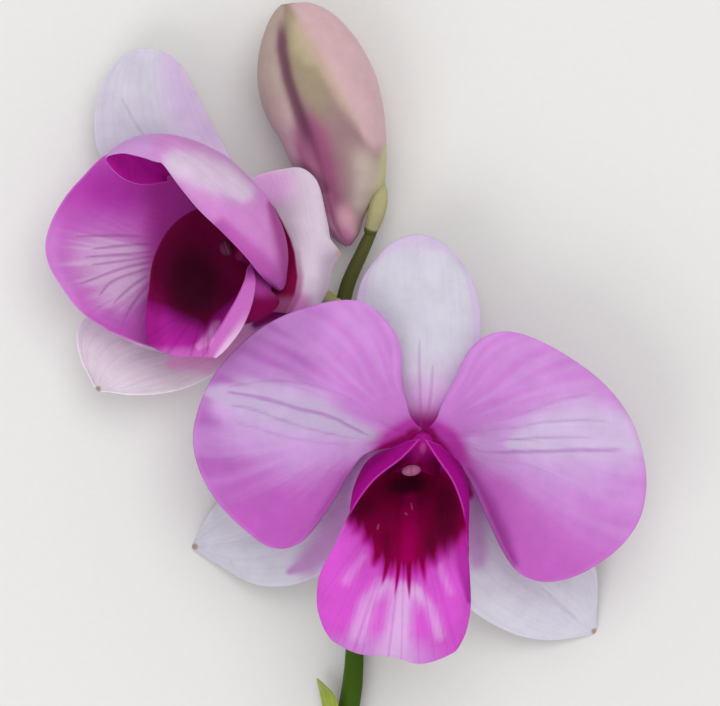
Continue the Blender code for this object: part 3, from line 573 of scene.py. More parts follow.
def blade(name, shape, cells, marks, material, walls, turned=False):
    """A petal, sepal, lip or bract: one closed body, thick in the middle and thin at its margin.

    marks(u, v, place, inward) gives the fields. A pair is the front's and the back's, and lift is how far
    the surface stands out, in millimetres. walls are the thicknesses in the middle and at the margin, and
    turned is true where the front would otherwise face down.
    """
    u, v = np.meshgrid(lines(cells[0]), lines(cells[1]), indexing="ij")
    place = shape(u, v)
    points = millimetres(place)
    normal = np.cross(np.gradient(points, axis=0), np.gradient(points, axis=1))
    normal /= np.maximum(np.linalg.norm(normal, axis=2, keepdims=True), 1e-9)
    if turned:
        normal = -normal
    inward = inward_from_margin(points)
    fields = marks(u, v, place, inward)
    lift = fields.pop("lift", np.zeros_like(inward)) * smooth(inward, 0.0, 1.5)
    middle, edge = walls
    closing = np.sqrt(np.clip(inward / ROUNDING, 0.0, 1.0))
    thick = (edge + (middle - edge) * smooth(inward, 0.0, TAPER)) * closing
    top = points + normal * (lift + thick / 2)[..., None]
    under = (points + normal * (lift - thick / 2)[..., None])[1:-1, 1:-1]
    rows, columns = inward.shape
    front = np.arange(rows * columns).reshape(rows, columns)
    back = front.copy()
    back[1:-1, 1:-1] = rows * columns + np.arange((rows - 2) * (columns - 2)).reshape(rows - 2, columns - 2)
    faces = []
    for ids, reverse in ((front, turned), (back, not turned)):
        ring = [ids[:-1, :-1], ids[1:, :-1], ids[1:, 1:], ids[:-1, 1:]]
        faces += np.stack(ring[::-1] if reverse else ring, axis=-1).reshape(-1, 4).tolist()
    both = {"back": np.concatenate([np.zeros(rows * columns), np.ones((rows - 2) * (columns - 2))])}
    for key, values in fields.items():
        first, second = values if isinstance(values, tuple) else (values, values)
        both[key] = np.concatenate([np.ravel(first), np.ravel(second[1:-1, 1:-1])])
    maps = np.stack([v, u], axis=-1)
    maps = np.concatenate([maps.reshape(-1, 2), maps[1:-1, 1:-1].reshape(-1, 2)])
    points = np.concatenate([top.reshape(-1, 3), under.reshape(-1, 3)])
    return finished(name, points, faces, maps, both, material)


def round_body(name, points, fields, material):
    """A closed body from rings of points, filled at both ends; points has a row for each ring."""
    rings, around = points.shape[:2]
    ids = np.arange(rings * around).reshape(rings, around)
    after = np.roll(ids, -1, axis=1)
    count = rings * around
    faces = np.stack([ids[:-1], after[:-1], after[1:], ids[1:]], axis=-1).reshape(-1, 4)
    first = np.stack([after[0], ids[0], np.full(around, count)], axis=-1)
    last = np.stack([ids[-1], after[-1], np.full(around, count + 1)], axis=-1)
    corners = points.reshape(-1, 3)[faces]
    outward = np.cross(corners[:, 1] - corners[:, 0], corners[:, 3] - corners[:, 0])
    away = corners.mean(axis=1) - points.mean(axis=1).repeat(around, axis=0)[: len(corners)]
    faces = faces.tolist() + first.tolist() + last.tolist()
    if np.einsum("ij,ij->", outward, away) < 0:
        faces = [face[::-1] for face in faces]
    fields = {key: [*np.ravel(value), value[0].mean(), value[-1].mean()] for key, value in fields.items()}
    turn, along = np.meshgrid(np.arange(around) / around, np.linspace(0.0, 1.0, rings))
    maps = np.concatenate([np.stack([turn, along], axis=-1).reshape(-1, 2), [[0.5, 0.0], [0.5, 1.0]]])
    points = np.concatenate([points.reshape(-1, 3), [points[0].mean(axis=0), points[-1].mean(axis=0)]])
    return finished(name, points, faces, maps, fields, material)


def tube(path, rings, around, flatten=1.0, rounding=0.5):
    """Rings of points round a path, rounded off at both ends over this share of the radius."""
    path = np.asarray(path, float)
    at = 0.5 - 0.5 * np.cos(math.pi * np.linspace(0.0, 1.0, rings))
    centre = millimetres(spline(path[:, :3], at))
    radius = spline(path[:, 3:], at, even=False)[:, 0]
    length = np.concatenate([[0.0], np.cumsum(np.linalg.norm(np.diff(centre, axis=0), axis=1))])
    for distance, end in ((length, radius[0]), (length[-1] - length, radius[-1])):
        near = np.clip(distance / (rounding * end), 0.0, 1.0)
        radius = radius * np.sqrt(np.maximum(1.0 - (1.0 - near) ** 2, 0.0004))
    tangent = np.gradient(centre, at, axis=0)
    tangent /= np.linalg.norm(tangent, axis=1, keepdims=True)
    side = np.array([1.0, 0.0, 0.0])
    sides = []
    for direction in tangent:
        side = side - direction * (side @ direction)
        side = side / np.linalg.norm(side)
        sides.append(side)
    sides = np.array(sides)
    others = np.cross(tangent, sides)
    turn = (np.arange(around) / around * 2.0 * math.pi)[None, :, None]
    ring = np.cos(turn) * sides[:, None] + flatten * np.sin(turn) * others[:, None]
    return centre[:, None] + radius[:, None, None] * ring


def anther_cap(place, radii, tilt):
    """A small two-lobed dome with a groove between its lobes."""
    rings, around = 36, 48
    polar, turn = np.meshgrid(
        np.linspace(0.02, math.pi - 0.02, rings), np.arange(around) / around * 2.0 * math.pi, indexing="ij"
    )
    x, y, z = np.sin(polar) * np.cos(turn), np.sin(polar) * np.sin(turn), np.cos(polar)
    groove = bell(x, 0.0, 0.16) * smooth(z, -0.2, 0.5)
    size = 1.0 - 0.14 * groove
    lean = math.radians(tilt)
    points = np.stack([x * size * radii[0], y * size * radii[1], z * size * radii[2]], axis=-1)
    turned = points.copy()
    turned[..., 0] = points[..., 0] * math.cos(lean) - points[..., 1] * math.sin(lean)
    turned[..., 1] = points[..., 0] * math.sin(lean) + points[..., 1] * math.cos(lean)
    return millimetres(place) + turned, {"groove": groove}


# Materials.


def linear(code):
    """An sRGB hex colour as linear numbers."""
    parts = [int(code[i : i + 2], 16) / 255 for i in (1, 3, 5)]
    return tuple(part / 12.92 if part <= 0.04045 else ((part + 0.055) / 1.055) ** 2.4 for part in parts)


def put(tree, kind, inputs=(), **settings):
    """Adds a node with its settings, values and links."""
    node = tree.nodes.new(kind)
    for key, value in settings.items():
        setattr(node, key, value)
    for socket, value in dict(inputs).items():
        if isinstance(value, bpy.types.NodeSocket):
            tree.links.new(value, node.inputs[socket])
        else:
            node.inputs[socket].default_value = value
    return node


def rgba(colour):
    """A colour of the settings, or an sRGB hex colour, as linear numbers with alpha."""
    return (*(linear(colour) if isinstance(colour, str) else colour), 1.0)


def tissue(name, spray, base, layers, seed, rough=(0.42, 0.6), streaks=(55.0, 3.0), mapped=True, relief=0.5,
           shine=0.06):
    """Living flower tissue: a base colour, then layers of (field, low, high, colour, strength, ragged).

    A layer begins where its field passes low and is full at high; ragged lets streaks along the veins move
    that border. Cells about 0.1 mm across, drawn at 0.3 mm so that they show, give the fine sparkle of the
    surface. rough is the least and most roughness, and streaks is how fine the streaks are across and along.
    """
    material = bpy.data.materials.new(name)
    material.use_nodes = True
    tree = material.node_tree
    shader = tree.nodes["Principled BSDF"]
    own = put(tree, "ShaderNodeTexCoord").outputs["Object"]
    spread = put(tree, "ShaderNodeUVMap", uv_map=BLADE_MAP).outputs[0] if mapped else own
    stretch = {"Vector": spread, "Location": (seed, seed * 0.7, seed * 1.3), "Scale": (*streaks, streaks[0])}
    along = put(tree, "ShaderNodeMapping", stretch).outputs[0]
    fine = {"Vector": along, "Scale": 1.0, "Detail": 4.0, "Roughness": 0.62}
    streak = put(tree, "ShaderNodeTexNoise", fine).outputs["Fac"]
    broad = {"Vector": own, "Scale": MOTTLE_SCALE, "Detail": 3.0, "Roughness": 0.6}
    mottle = put(tree, "ShaderNodeTexNoise", broad).outputs["Fac"]
    cells = put(tree, "ShaderNodeTexVoronoi", {"Vector": own, "Scale": CELL_SCALE}).outputs["Distance"]
    colour = rgba(base)
    for field, low, high, tint, strength, ragged in layers:
        amount = put(tree, "ShaderNodeAttribute", attribute_name=field).outputs["Fac"]
        if ragged:
            moved = {0: streak, 1: ragged, 2: amount}
            amount = put(tree, "ShaderNodeMath", moved, operation="MULTIPLY_ADD").outputs[0]
        window = {0: amount, 1: low + ragged / 2, 2: high + ragged / 2, 3: 0.0, 4: strength}
        share = put(tree, "ShaderNodeMapRange", window, interpolation_type="SMOOTHSTEP").outputs[0]
        blend = {0: share, 6: colour, 7: rgba(tint)}
        colour = put(tree, "ShaderNodeMix", blend, data_type="RGBA").outputs[2]
    even = put(tree, "ShaderNodeMapRange", {0: mottle, 1: 0.25, 2: 0.75, 3: 0.92, 4: 1.06}).outputs[0]
    evened = {0: 1.0, 6: colour, 7: even}
    colour = put(tree, "ShaderNodeMix", evened, data_type="RGBA", blend_type="MULTIPLY").outputs[2]
    tree.links.new(colour, shader.inputs["Base Color"])
    gloss = put(tree, "ShaderNodeMapRange", {0: mottle, 1: 0.3, 2: 0.7, 3: rough[0], 4: rough[1]}).outputs[0]
    tree.links.new(gloss, shader.inputs["Roughness"])
    height = put(tree, "ShaderNodeMath", {0: streak, 1: 3.0, 2: cells}, operation="MULTIPLY_ADD").outputs[0]
    fine = {"Strength": relief, "Distance": RELIEF_DEPTH, "Height": height}
    tree.links.new(put(tree, "ShaderNodeBump", fine).outputs[0], shader.inputs["Normal"])
    shader.inputs["IOR"].default_value = 1.4
    shader.inputs["Specular IOR Level"].default_value = shine
    shader.inputs["Subsurface Weight"].default_value = spray.glow
    shader.inputs["Subsurface Radius"].default_value = (1.0, 0.5, 0.75)
    shader.inputs["Subsurface Scale"].default_value = GLOW_DEPTH
    return material


# Markings. Each function gives the fields of one kind of piece.


PETAL_LEFT_MARKS = {
    "band": [(380, 438, 4), (350, 430, 13), (315, 416, 25), (280, 407, 31), (250, 400, 25), (224, 395, 13),
             (204, 391, 5)],
    "halo": [(392, 438, 8), (350, 440, 30), (300, 434, 52), (255, 422, 40), (226, 408, 18)],
    "claw": [(418, 430, 16), (402, 438, 17), (386, 443, 16), (366, 450, 14)],
    "deep": [(414, 436, 10), (408, 441, 9), (396, 446, 9), (384, 450, 7), (372, 456, 5)],
    "fold": [(366, 460, 6), (352, 477, 9), (334, 503, 9), (312, 536, 6)],
    "dusk": 348,
    "main": [[(388, 446), (349, 426), (326, 415), (300, 409), (276, 402), (252, 396), (223, 392)]],
    "fine": [
        [(393, 430), (352, 401), (318, 386), (283, 381), (252, 383), (224, 388)],
        [(385, 443), (352, 438), (326, 433), (300, 426), (276, 418), (254, 410), (231, 405)],
        [(385, 446), (352, 445), (318, 442), (283, 436), (257, 428), (238, 424)],
        [(393, 432), (366, 404), (342, 380), (318, 361), (296, 349)],
        [(398, 425), (380, 392), (364, 355), (357, 325)],
    ],
}
PETAL_RIGHT_MARKS = {
    "band": [(512, 443, 8), (530, 439, 20), (552, 434, 30), (580, 430, 36), (616, 434, 29), (640, 446, 12)],
    "halo": [(464, 446, 10), (500, 446, 30), (560, 446, 54), (620, 446, 42), (644, 450, 20)],
    "claw": [(428, 432, 15), (444, 441, 17), (458, 453, 17), (470, 470, 14)],
    "deep": [(428, 434, 9), (432, 440, 8), (440, 450, 9), (449, 461, 7), (458, 472, 5)],
    "fold": [(466, 474, 9), (484, 508, 15), (498, 538, 14), (511, 562, 8)],
    "dusk": 0,
    "main": [[(466, 446), (480, 452), (515, 452), (551, 451), (590, 450), (625, 450), (638, 454)]],
    "fine": [
        [(462, 438), (490, 424), (517, 415), (560, 400), (590, 394)],
        [(464, 440), (490, 430), (521, 426), (551, 421), (603, 421), (628, 428)],
        [(466, 448), (490, 442), (517, 439), (551, 437), (590, 437)],
        [(474, 456), (500, 462), (528, 465), (560, 478), (586, 491)],
        [(462, 432), (482, 404), (505, 384), (530, 370)],
        [(466, 456), (490, 478), (516, 504), (540, 530)],
    ],
}


def petal_marks(marked, seed):
    """A broad pale band crossed by darker veins, a deep claw, a stronger lower side and painted shade along
    its lower margin.
    """

    def marks(u, v, place, inward):
        small = veins(u, v, 17, seed, 0.14)
        main, fine = drawn(place, marked["main"], 2.3), drawn(place, marked["fine"], 2.1)
        vein = np.clip(main + 0.55 * fine + 0.3 * small, 0.0, 1.0) * smooth(inward, 1.5, 5.0)
        ripple = np.sin(9.0 * v + 4.0 * u) * smooth(u, 0.3, 1.0)
        near = 1.0 - 0.92 * smooth(np.hypot(place[..., 0] - 424.0, place[..., 1] - 438.0), 20.0, 70.0)
        return {
            "band": stroke(place, marked["band"]),
            "halo": stroke(place, marked["halo"]),
            "vein": vein * (0.25 + 0.75 * stroke(place, marked["band"], 14.0)),
            "ray": veins(u, v, 12, seed + 30, 0.2) * smooth(u, 0.12, 0.4) * (1.0 - smooth(v, 0.6, 0.9)),
            "claw": stroke(place, marked["claw"]) * near,
            "deep": stroke(place, marked["deep"]),
            "low": smooth(v, 0.55, 0.95),
            "dusk": smooth(marked["dusk"] - place[..., 0], 0.0, 62.0),
            # painted shade along the lower margin, where it curls back
            "fold": stroke(place, marked["fold"]),
            "rim": 1.0 - smooth(inward, 0.1, 1.6),
            "lift": -0.05 * vein + 0.1 * ripple,
        }

    return marks


def dorsal_marks(u, v, place, inward):
    """The front flower's upper sepal: lilac along its sides, magenta at its foot, with two soft creases in
    painted shade.
    """
    vein = veins(u, v, 9, 21)
    creases = [[(419, 340), (419, 370), (420, 400), (421, 428)], [(433, 366), (431, 392), (427, 420)]]
    # two soft creased lines, grooved and darkened with painted shade
    crease = drawn(place, creases, 2.2)
    return {
        "side": 1.0 - smooth(inward, 0.3, 3.2) * (1.0 - 0.4 * smooth(-place[..., 1], -300.0, -240.0)),
        "foot": np.interp(place[..., 1], (330, 370, 402, 414, 426), (0.0, 0.16, 0.42, 0.72, 1.0)),
        "vein": vein,
        "crease": crease,
        "lift": -0.03 * vein - 0.1 * crease,
    }


LATERAL_LINES = {
    "front_lateral_sepal_left": {
        "foot": [(404, 455, 20), (386, 464, 20), (370, 480, 14), (360, 498, 9)],
        "shade": [(290, 572, 4), (308, 564, 14), (330, 542, 24), (352, 508, 28), (364, 466, 24)],
        "crease": [(230, 560, 1), (232, 562, 1)],
        "tip": (194, 548),
    },
    "front_lateral_sepal_right": {
        "foot": [(444, 458, 20), (460, 478, 14), (468, 494, 9)],
        "shade": [(466, 490, 20), (472, 520, 16), (478, 560, 10)],
        "crease": [(543, 589, 2), (560, 604, 3), (577, 619, 2)],
        "tip": (596, 633),
    },
    "side_lateral_sepal_left": {
        "foot": [(300, 296, 18), (280, 311, 12), (256, 325, 6)],
        "shade": [(172, 364, 8), (205, 360, 16), (240, 342, 22), (262, 326, 20)],
        "crease": [(120, 340, 2), (150, 352, 2), (178, 356, 1)],
        "tip": (97, 390),
    },
}


def lateral_marks(seed, foot, shade, crease, tip):
    """A long sepal, pinker where it comes out from under the lip, with a small dry point."""

    def marks(u, v, place, inward):
        vein = veins(u, v, 8, seed)
        return {
            "foot": np.clip(stroke(place, foot), 0.0, 1.0),
            "shade": stroke(place, shade),
            # painted shade along the creased line
            "crease": 0.5 * stroke(place, crease),
            "vein": vein,
            "tip": spot(place, tip, (4.5, 4.5)),
            "lift": -0.03 * vein - 0.1 * stroke(place, crease),
        }

    return marks


FRONT_THROAT = [  # lower border of the dark throat
    (343, 508), (350, 519), (360, 527), (367, 537), (373, 550), (382, 560), (393, 567), (406, 570),
    (419, 566), (430, 559), (441, 550), (452, 542), (462, 537), (470, 532),
]
FRONT_TEETH = [  # place on the grid, length in grid steps and half width
    (348, 4, 3), (357, 8, 2.6), (366, 10, 2.4), (376, 17, 2.9), (386, 23, 2), (391, 8, 1.6), (397, 27, 1.5),
    (403, 8, 1.5), (409, 26, 2), (416, 6, 1.6), (423, 17, 2.4), (434, 10, 2.6), (445, 6, 2.6), (457, 5, 3),
]
# pale specks, painted glints of the throat's papillae
FRONT_SPECKS = [[(411, 504), (412.5, 511)], [(404, 514), (407, 516)], [(377, 524), (376, 530)]]


def front_lip_marks(u, v, place, inward):
    """The broad lip: a dark throat that ends in teeth, with painted shade in its recesses and a painted
    highlight along the margins of its walls, then a bright blade with a paler middle and tip.
    """
    x, y = place[..., 0], place[..., 1]
    depth = above(place, FRONT_THROAT)
    spread = (x - 408.0) * np.clip(-depth, 0.0, 40.0) / 130.0
    teeth = sum(length * bell(x - spread, centre, width) for centre, length, width in FRONT_TEETH)
    # a painted highlight along the margins of the walls
    rim = (1.0 - smooth(inward, 0.15, 0.7)) * (1.0 - smooth(u, 0.36, 0.5))
    pale = (
        stroke(place, [(403, 592, 13), (398, 625, 15), (392, 660, 22)])
        + 0.7 * stroke(place, [(382, 582, 9), (368, 600, 11), (358, 632, 12)])
        + 0.6 * stroke(place, [(418, 590, 7), (430, 606, 8), (438, 632, 8)])
        + 0.4 * stroke(place, [(362, 556, 6), (346, 578, 8)])
        + 0.4 * stroke(place, [(440, 566, 6), (450, 590, 6)])
    )
    vein = fan(place, (409, 470), np.linspace(212.0, 320.0, 33), 1.5, 31)
    # painted shade in the throat's recesses: under the column, beside the walls and on either side of the
    # ridge
    dark = (
        spot(place, (404, 486), (27, 12))
        + spot(place, (448, 516), (15, 40))
        + 0.9 * spot(place, (359, 508), (15, 18), 60)
        + 0.6 * spot(place, (385, 546), (7, 20))
        + 0.6 * spot(place, (430, 545), (8, 22))
    )
    raised = bell(v, 0.49, 0.05) * smooth(u, 0.2, 0.35) * (1.0 - smooth(u, 0.5, 0.65))
    return {
        "halo": ((depth + 0.8 * teeth) / 10.0, depth / 10.0 + 0.2),
        "throat": ((depth + teeth) / 10.0, depth / 10.0 + 0.2),
        "ridge": stroke(place, [(410, 500, 9), (409, 535, 11), (407, 560, 10)]) * smooth(depth, -1.0, 9.0),
        "dark": np.clip(dark, 0.0, 1.0),
        # painted shade in the hollow under the anther cap
        "cavity": spot(place, (406, 486), (22, 10)),
        "roof": smooth(-y, -476.0, -466.0),
        "rim": rim,
        # painted shade over the outer faces of the walls, away from their margins
        "sheltered": (np.zeros_like(v), smooth(inward, 1.0, 5.5)),
        "pale": np.clip(pale, 0.0, 1.0) * smooth(-depth, 0.0, 14.0),
        "flank": stroke(place, [(464, 536, 10), (464, 565, 9), (468, 598, 4)]),
        "tip": smooth(y, 618.0, 656.0) * smooth(-x, -470.0, -400.0),
        # pale specks painted as glints
        "speck": drawn(place, FRONT_SPECKS, 1.5),
        "vein": vein * smooth(-depth, -6.0, 6.0),
        "lift": -0.04 * vein * smooth(u, 0.4, 0.55) + 0.5 * raised,
    }


SIDE_THROAT = [  # lower border of the other lip's throat
    (140, 296), (149, 302), (157, 304), (163, 306), (171, 309), (187, 316), (198, 321), (206, 328),
    (212, 318), (226, 306), (236, 297), (252, 272),
]


def side_lip_marks(u, v, place, inward):
    """The half-open flower's lip, whose right side turns outwards as a paler flange."""
    x, y = place[..., 0], place[..., 1]
    depth = above(place, SIDE_THROAT)
    vein = fan(place, (208, 300), np.linspace(192.0, 316.0, 22), 1.5, 37)
    flange = smooth(v, 0.84, 0.9)
    wall = smooth(v, 0.5, 0.62) * (1.0 - smooth(v, 0.84, 0.9))
    none = np.zeros_like(v)
    return {
        "throat": (depth / 8.0, depth / 8.0),
        # painted shade deep in the throat
        "dark": spot(place, (193, 284), (34, 46), -12),
        "left": smooth(-x, -172.0, -152.0) * smooth(-depth, -40.0, -5.0),
        "brim": smooth(y, 341.0, 356.0),
        "bright": stroke(place, [(200, 347, 4), (211, 340, 8), (216, 326, 5)]),
        "flange": (flange, smooth(v, 0.87, 0.93)),
        "flange_top": (flange * smooth(-y, -292.0, -268.0), none),
        "flange_end": (flange * smooth(v, 0.92, 0.99) * smooth(y, 300.0, 345.0), none),
        "outer": (none, wall),
        "wall_top": (none, wall * smooth(-y, -308.0, -284.0)),
        "vein": vein * smooth(-depth, -4.0, 6.0),
        "lift": -0.03 * vein,
    }


BOWL_VEINS = [
    [(150, 229), (124, 222), (98, 214)], [(152, 236), (115, 235), (76, 236)],
    [(152, 243), (122, 245), (90, 249)], [(152, 251), (124, 254), (84, 257)],
    [(153, 256), (119, 261), (91, 265)], [(150, 262), (119, 269), (80, 284)],
    [(146, 268), (112, 281), (98, 296)], [(146, 276), (130, 287), (112, 304)],
    [(148, 284), (134, 301), (122, 322)], [(146, 222), (122, 208), (102, 196)],
    [(150, 292), (142, 312), (136, 330)],
]


def bowl_marks(u, v, place, inward):
    """The petal that stands open as a bowl: dark with painted shadow where it turns under the rolled one,
    pale in its middle.
    """
    x, y = place[..., 0], place[..., 1]
    vein = drawn(place, BOWL_VEINS, 2.1)
    rays = fan(place, (182, 256), np.linspace(140.0, 232.0, 27), 1.5, 41)
    open_part = spot(place, (106, 262), (50, 34), 12) + 0.5 * spot(place, (116, 300), (30, 26))
    return {
        "fan": np.clip(open_part * (0.85 + 0.4 * rays), 0.0, 1.0),
        "upper": spot(place, (122, 186), (70, 30), 0),
        "shadow": smooth(x, 122.0, 166.0),
        "low": smooth(v, 0.86, 1.0),
        "rim": (1.0 - smooth(inward, 0.3, 4.0)) * smooth(-x, -100.0, -62.0) * smooth(y, 190.0, 250.0),
        "edge": 1.0 - smooth(inward, 0.1, 0.8),
        "vein": vein * smooth(open_part, 0.05, 0.4),
        "lift": -0.07 * vein,
    }


def rolled_marks(u, v, place, inward):
    """The rolled petal: a pale band along the roll with a painted highlight, stronger colour below, and
    painted shade down its right side.
    """
    vein = veins(u, v, 12, 43, 0.16)
    return {
        # the paler outside along the roll, brightened with a painted highlight
        "band": stroke(place, [(177, 165, 16), (200, 172, 20), (224, 181, 20), (243, 193, 13)]),
        "left": smooth(-place[..., 0], -176.0, -140.0),
        "lower": stroke(place, [(222, 226, 8), (244, 248, 12), (268, 274, 16), (284, 290, 12)]),
        # painted shade down the right side, where the roll turns away
        "right": stroke(place, [(270, 206, 5), (279, 232, 9), (286, 262, 10), (288, 284, 6)]),
        "vein": vein,
        "lift": -0.04 * vein,
    }


def side_dorsal_marks(u, v, place, inward):
    """The half-open flower's upper sepal, more lilac to its right and towards its foot."""
    vein = veins(u, v, 8, 47)
    # a soft creased line, grooved and darkened with painted shade
    crease = stroke(place, [(121, 98, 1.8), (132, 118, 2.4), (147, 142, 2.8)])
    return {
        "side": smooth(v, 0.42, 0.85),
        "foot": 1.0 - smooth(u, 0.3, 0.62),
        "crease": 0.7 * crease,
        "vein": vein,
        "lift": -0.03 * vein - 0.08 * crease,
    }


def side_lateral_marks(u, v, place, inward):
    """The half-open flower's upright sepal, crimson with painted shade where the rolled petal lies against
    it.
    """
    x, y = place[..., 0], place[..., 1]
    vein = veins(u, v, 7, 53)
    levels = (200, 212, 223, 238, 253, 277, 295, 312)
    border = np.interp(y, levels, (272, 278, 284, 291, 295.5, 298, 295, 286))
    hidden = border - x
    return {
        # the inner face's crimson, deepened with painted shade where the rolled petal lies against it
        "wine": smooth(hidden, -2.0, 2.0) * smooth(y, 200.0, 212.0) * (1.0 - 0.4 * smooth(y, 286.0, 304.0)),
        "shade": smooth(x, 308.0, 330.0) * smooth(y, 234.0, 262.0),
        # a narrow band of painted shade beside the crimson
        "fringe": bell(hidden, -2.0, 5.0) * smooth(y, 205.0, 300.0),
        "pink": np.clip(spot(place, (268, 186), (30, 22)), 0.0, 1.0),
        "low": smooth(y, 282.0, 304.0) * smooth(-x, -322.0, -300.0),
        "tip": spot(place, (339, 254), (6, 6)),
        # painted shade along a creased line
        "crease": 0.35 * stroke(place, [(306, 244, 3), (328, 246, 4)]),
        "vein": vein,
        "lift": -0.03 * vein,
    }


def face_marks(u, v, place, inward):
    """The column's broad face: painted light at its top, painted shade towards the anther cap."""
    return {
        "under": smooth(u, 0.35, 1.0),
        "face": 1.0 - smooth(u, 0.0, 0.45),
        "mark": spot(place, (422, 449), (3.0, 6.5), 10),
    }


BUD_LINES = {
    "groove": [(281, 14, 6), (282, 50, 6.5), (288, 80, 6.5), (297, 108, 7), (307, 138, 9), (317, 172, 12)],
    "magenta": [(302, 100, 11), (316, 138, 16), (323, 172, 18), (331, 206, 14)],
    "beside": [(293, 118, 8), (303, 148, 11), (311, 172, 12)],
    "olive": [(296, 30, 7), (305, 60, 12), (316, 92, 14), (330, 130, 16)],
    "crown": [(300, 26, 10), (304, 44, 13), (311, 58, 10)],
    "grey": [(356, 136, 14), (370, 172, 18), (364, 200, 14)],
    "blush": [(342, 196, 13), (346, 230, 13)],
    "pink": [(344, 236, 9), (348, 244, 9)],
    "chin": [(328, 196, 6), (335, 232, 7)],
    "foot": [(387, 150, 6), (385, 180, 10), (377, 206, 7)],
}


def bud_marks(t, turn, place):
    """The bud's lapping sepals: a dark groove of painted shade, a pale crest of painted highlight, olive
    beside it and rose round its right.
    """
    seen = np.where((turn > 0.5) & (turn < 0.97), 0.0, 1.0)
    left = smooth(-turn, -0.2, -0.14) + smooth(turn, 0.8, 0.9)
    front = 1.0 - smooth(turn, 0.62, 0.78)
    x, y = place[..., 0], place[..., 1]
    crest = np.interp(y, (0, 20, 50, 85, 120, 145, 165), (287, 299, 315, 335, 354, 367, 377))
    soft = {key: stroke(place, path) for key, path in BUD_LINES.items()}
    fields = {
        "mauve": smooth(t, 0.2, 0.6) * (1.0 - left),
        "left": left,
        "fade": left * smooth(t, 0.3, 0.7),
        "magenta": soft["magenta"] * smooth(y, 88.0, 140.0) + 0.6 * soft["beside"] * smooth(y, 100.0, 150.0),
        "olive": soft["olive"] * (1.0 - smooth(y, 90.0, 138.0)),
        "blush": soft["blush"] * smooth(y, 192.0, 222.0),
        "crown": soft["crown"] * smooth(y, 6.0, 26.0),
        # a painted highlight along the raised crest
        "ridge": bell(x, crest - 1.0, 9.0) * smooth(y, 4.0, 30.0) * (1.0 - smooth(y, 96.0, 150.0)),
        "rose": smooth(x - crest, -8.0, 8.0) * (1.0 - smooth(y, 132.0, 168.0)) * front,
        "grey": soft["grey"] * smooth(y, 128.0, 172.0),
        "pink": soft["pink"] + 0.6 * soft["chin"],
        # painted shade in the groove where one sepal laps over the next
        "groove": soft["groove"] * smooth(y, 4.0, 44.0) * (1.0 - smooth(y, 112.0, 184.0)),
        "foot": soft["foot"],
    }
    for key, value in fields.items():
        fields[key] = np.clip(value, 0.0, 1.0) * (1.0 if key in ("left", "fade", "rose") else seen)
    fields["tip"] = 1.0 - smooth(t, 0.0, 0.05)
    return fields


def bract_marks(u, v, place, inward):
    """A bract's fine veins and its drier point."""
    vein = veins(u, v, 7, 59, 0.2)
    return {"tip": smooth(u, 0.55, 1.0), "vein": vein, "lift": -0.03 * vein}


# Finishes. Living tissue is water-filled cells under a thin waxy cuticle: light sinks in a little and
# spreads, so the surface looks soft and satiny, with fine sparkle where the cells catch the light.


def petal_tissue(name, spray, pale, seed):
    """Satin petal, with pigment held back along its middle so that it reads as a pale, veined band."""
    layers = [
        ("dusk", 0.0, 1.0, "#AC60B4", 0.9, 0.2),
        ("low", 0.0, 1.0, "#C25EC0", 0.85, 0.2),
        ("halo", 0.1, 0.95, "#CDA0DB", 0.9, 0.4),
        ("band", 0.1, 0.95, pale, 0.95, 0.4),
        ("ray", 0.1, 1.0, "#D3ADE0", 0.32, 0.1),
        ("vein", 0.1, 1.0, "#A562B4", 0.55, 0.0),
        # painted shade along the lower margin, where it curls back
        ("fold", 0.1, 1.0, "#983090", 0.85, 0.15),
        ("rim", 0.2, 1.0, "#CE86D6", 0.3, 0.0),
        ("claw", 0.03, 0.7, "#B934AA", 0.95, 0.2),
        ("deep", 0.15, 0.8, spray.claw_magenta, 0.98, 0.1),
        ("back", 0.4, 0.6, "#C98FD0", 0.6, 0.0),
    ]
    return tissue(name, spray, spray.petal_pink, layers, seed=seed)


def sepal_tissue(name, spray, base, shade, seed):
    """Thicker and waxier than a petal, nearly without pigment but for its foot and margins."""
    layers = [
        ("side", 0.1, 1.0, "#D2BAE0", 0.7, 0.2),
        ("shade", 0.0, 1.0, shade, 0.9, 0.15),
        ("foot", 0.02, 0.5, "#DA9CDE", 0.95, 0.2),
        ("foot", 0.35, 0.95, "#A4107E", 0.98, 0.15),
        ("vein", 0.3, 1.0, "#B59BC6", 0.1, 0.0),
        # painted shade along the creased lines
        ("crease", 0.1, 1.0, "#A454AC", 0.3, 0.0),
        ("tip", 0.3, 0.9, "#A88474", 0.85, 0.0),
        ("back", 0.4, 0.6, "#D6C3D2", 0.4, 0.0),
    ]
    return tissue(name, spray, base, layers, seed=seed)


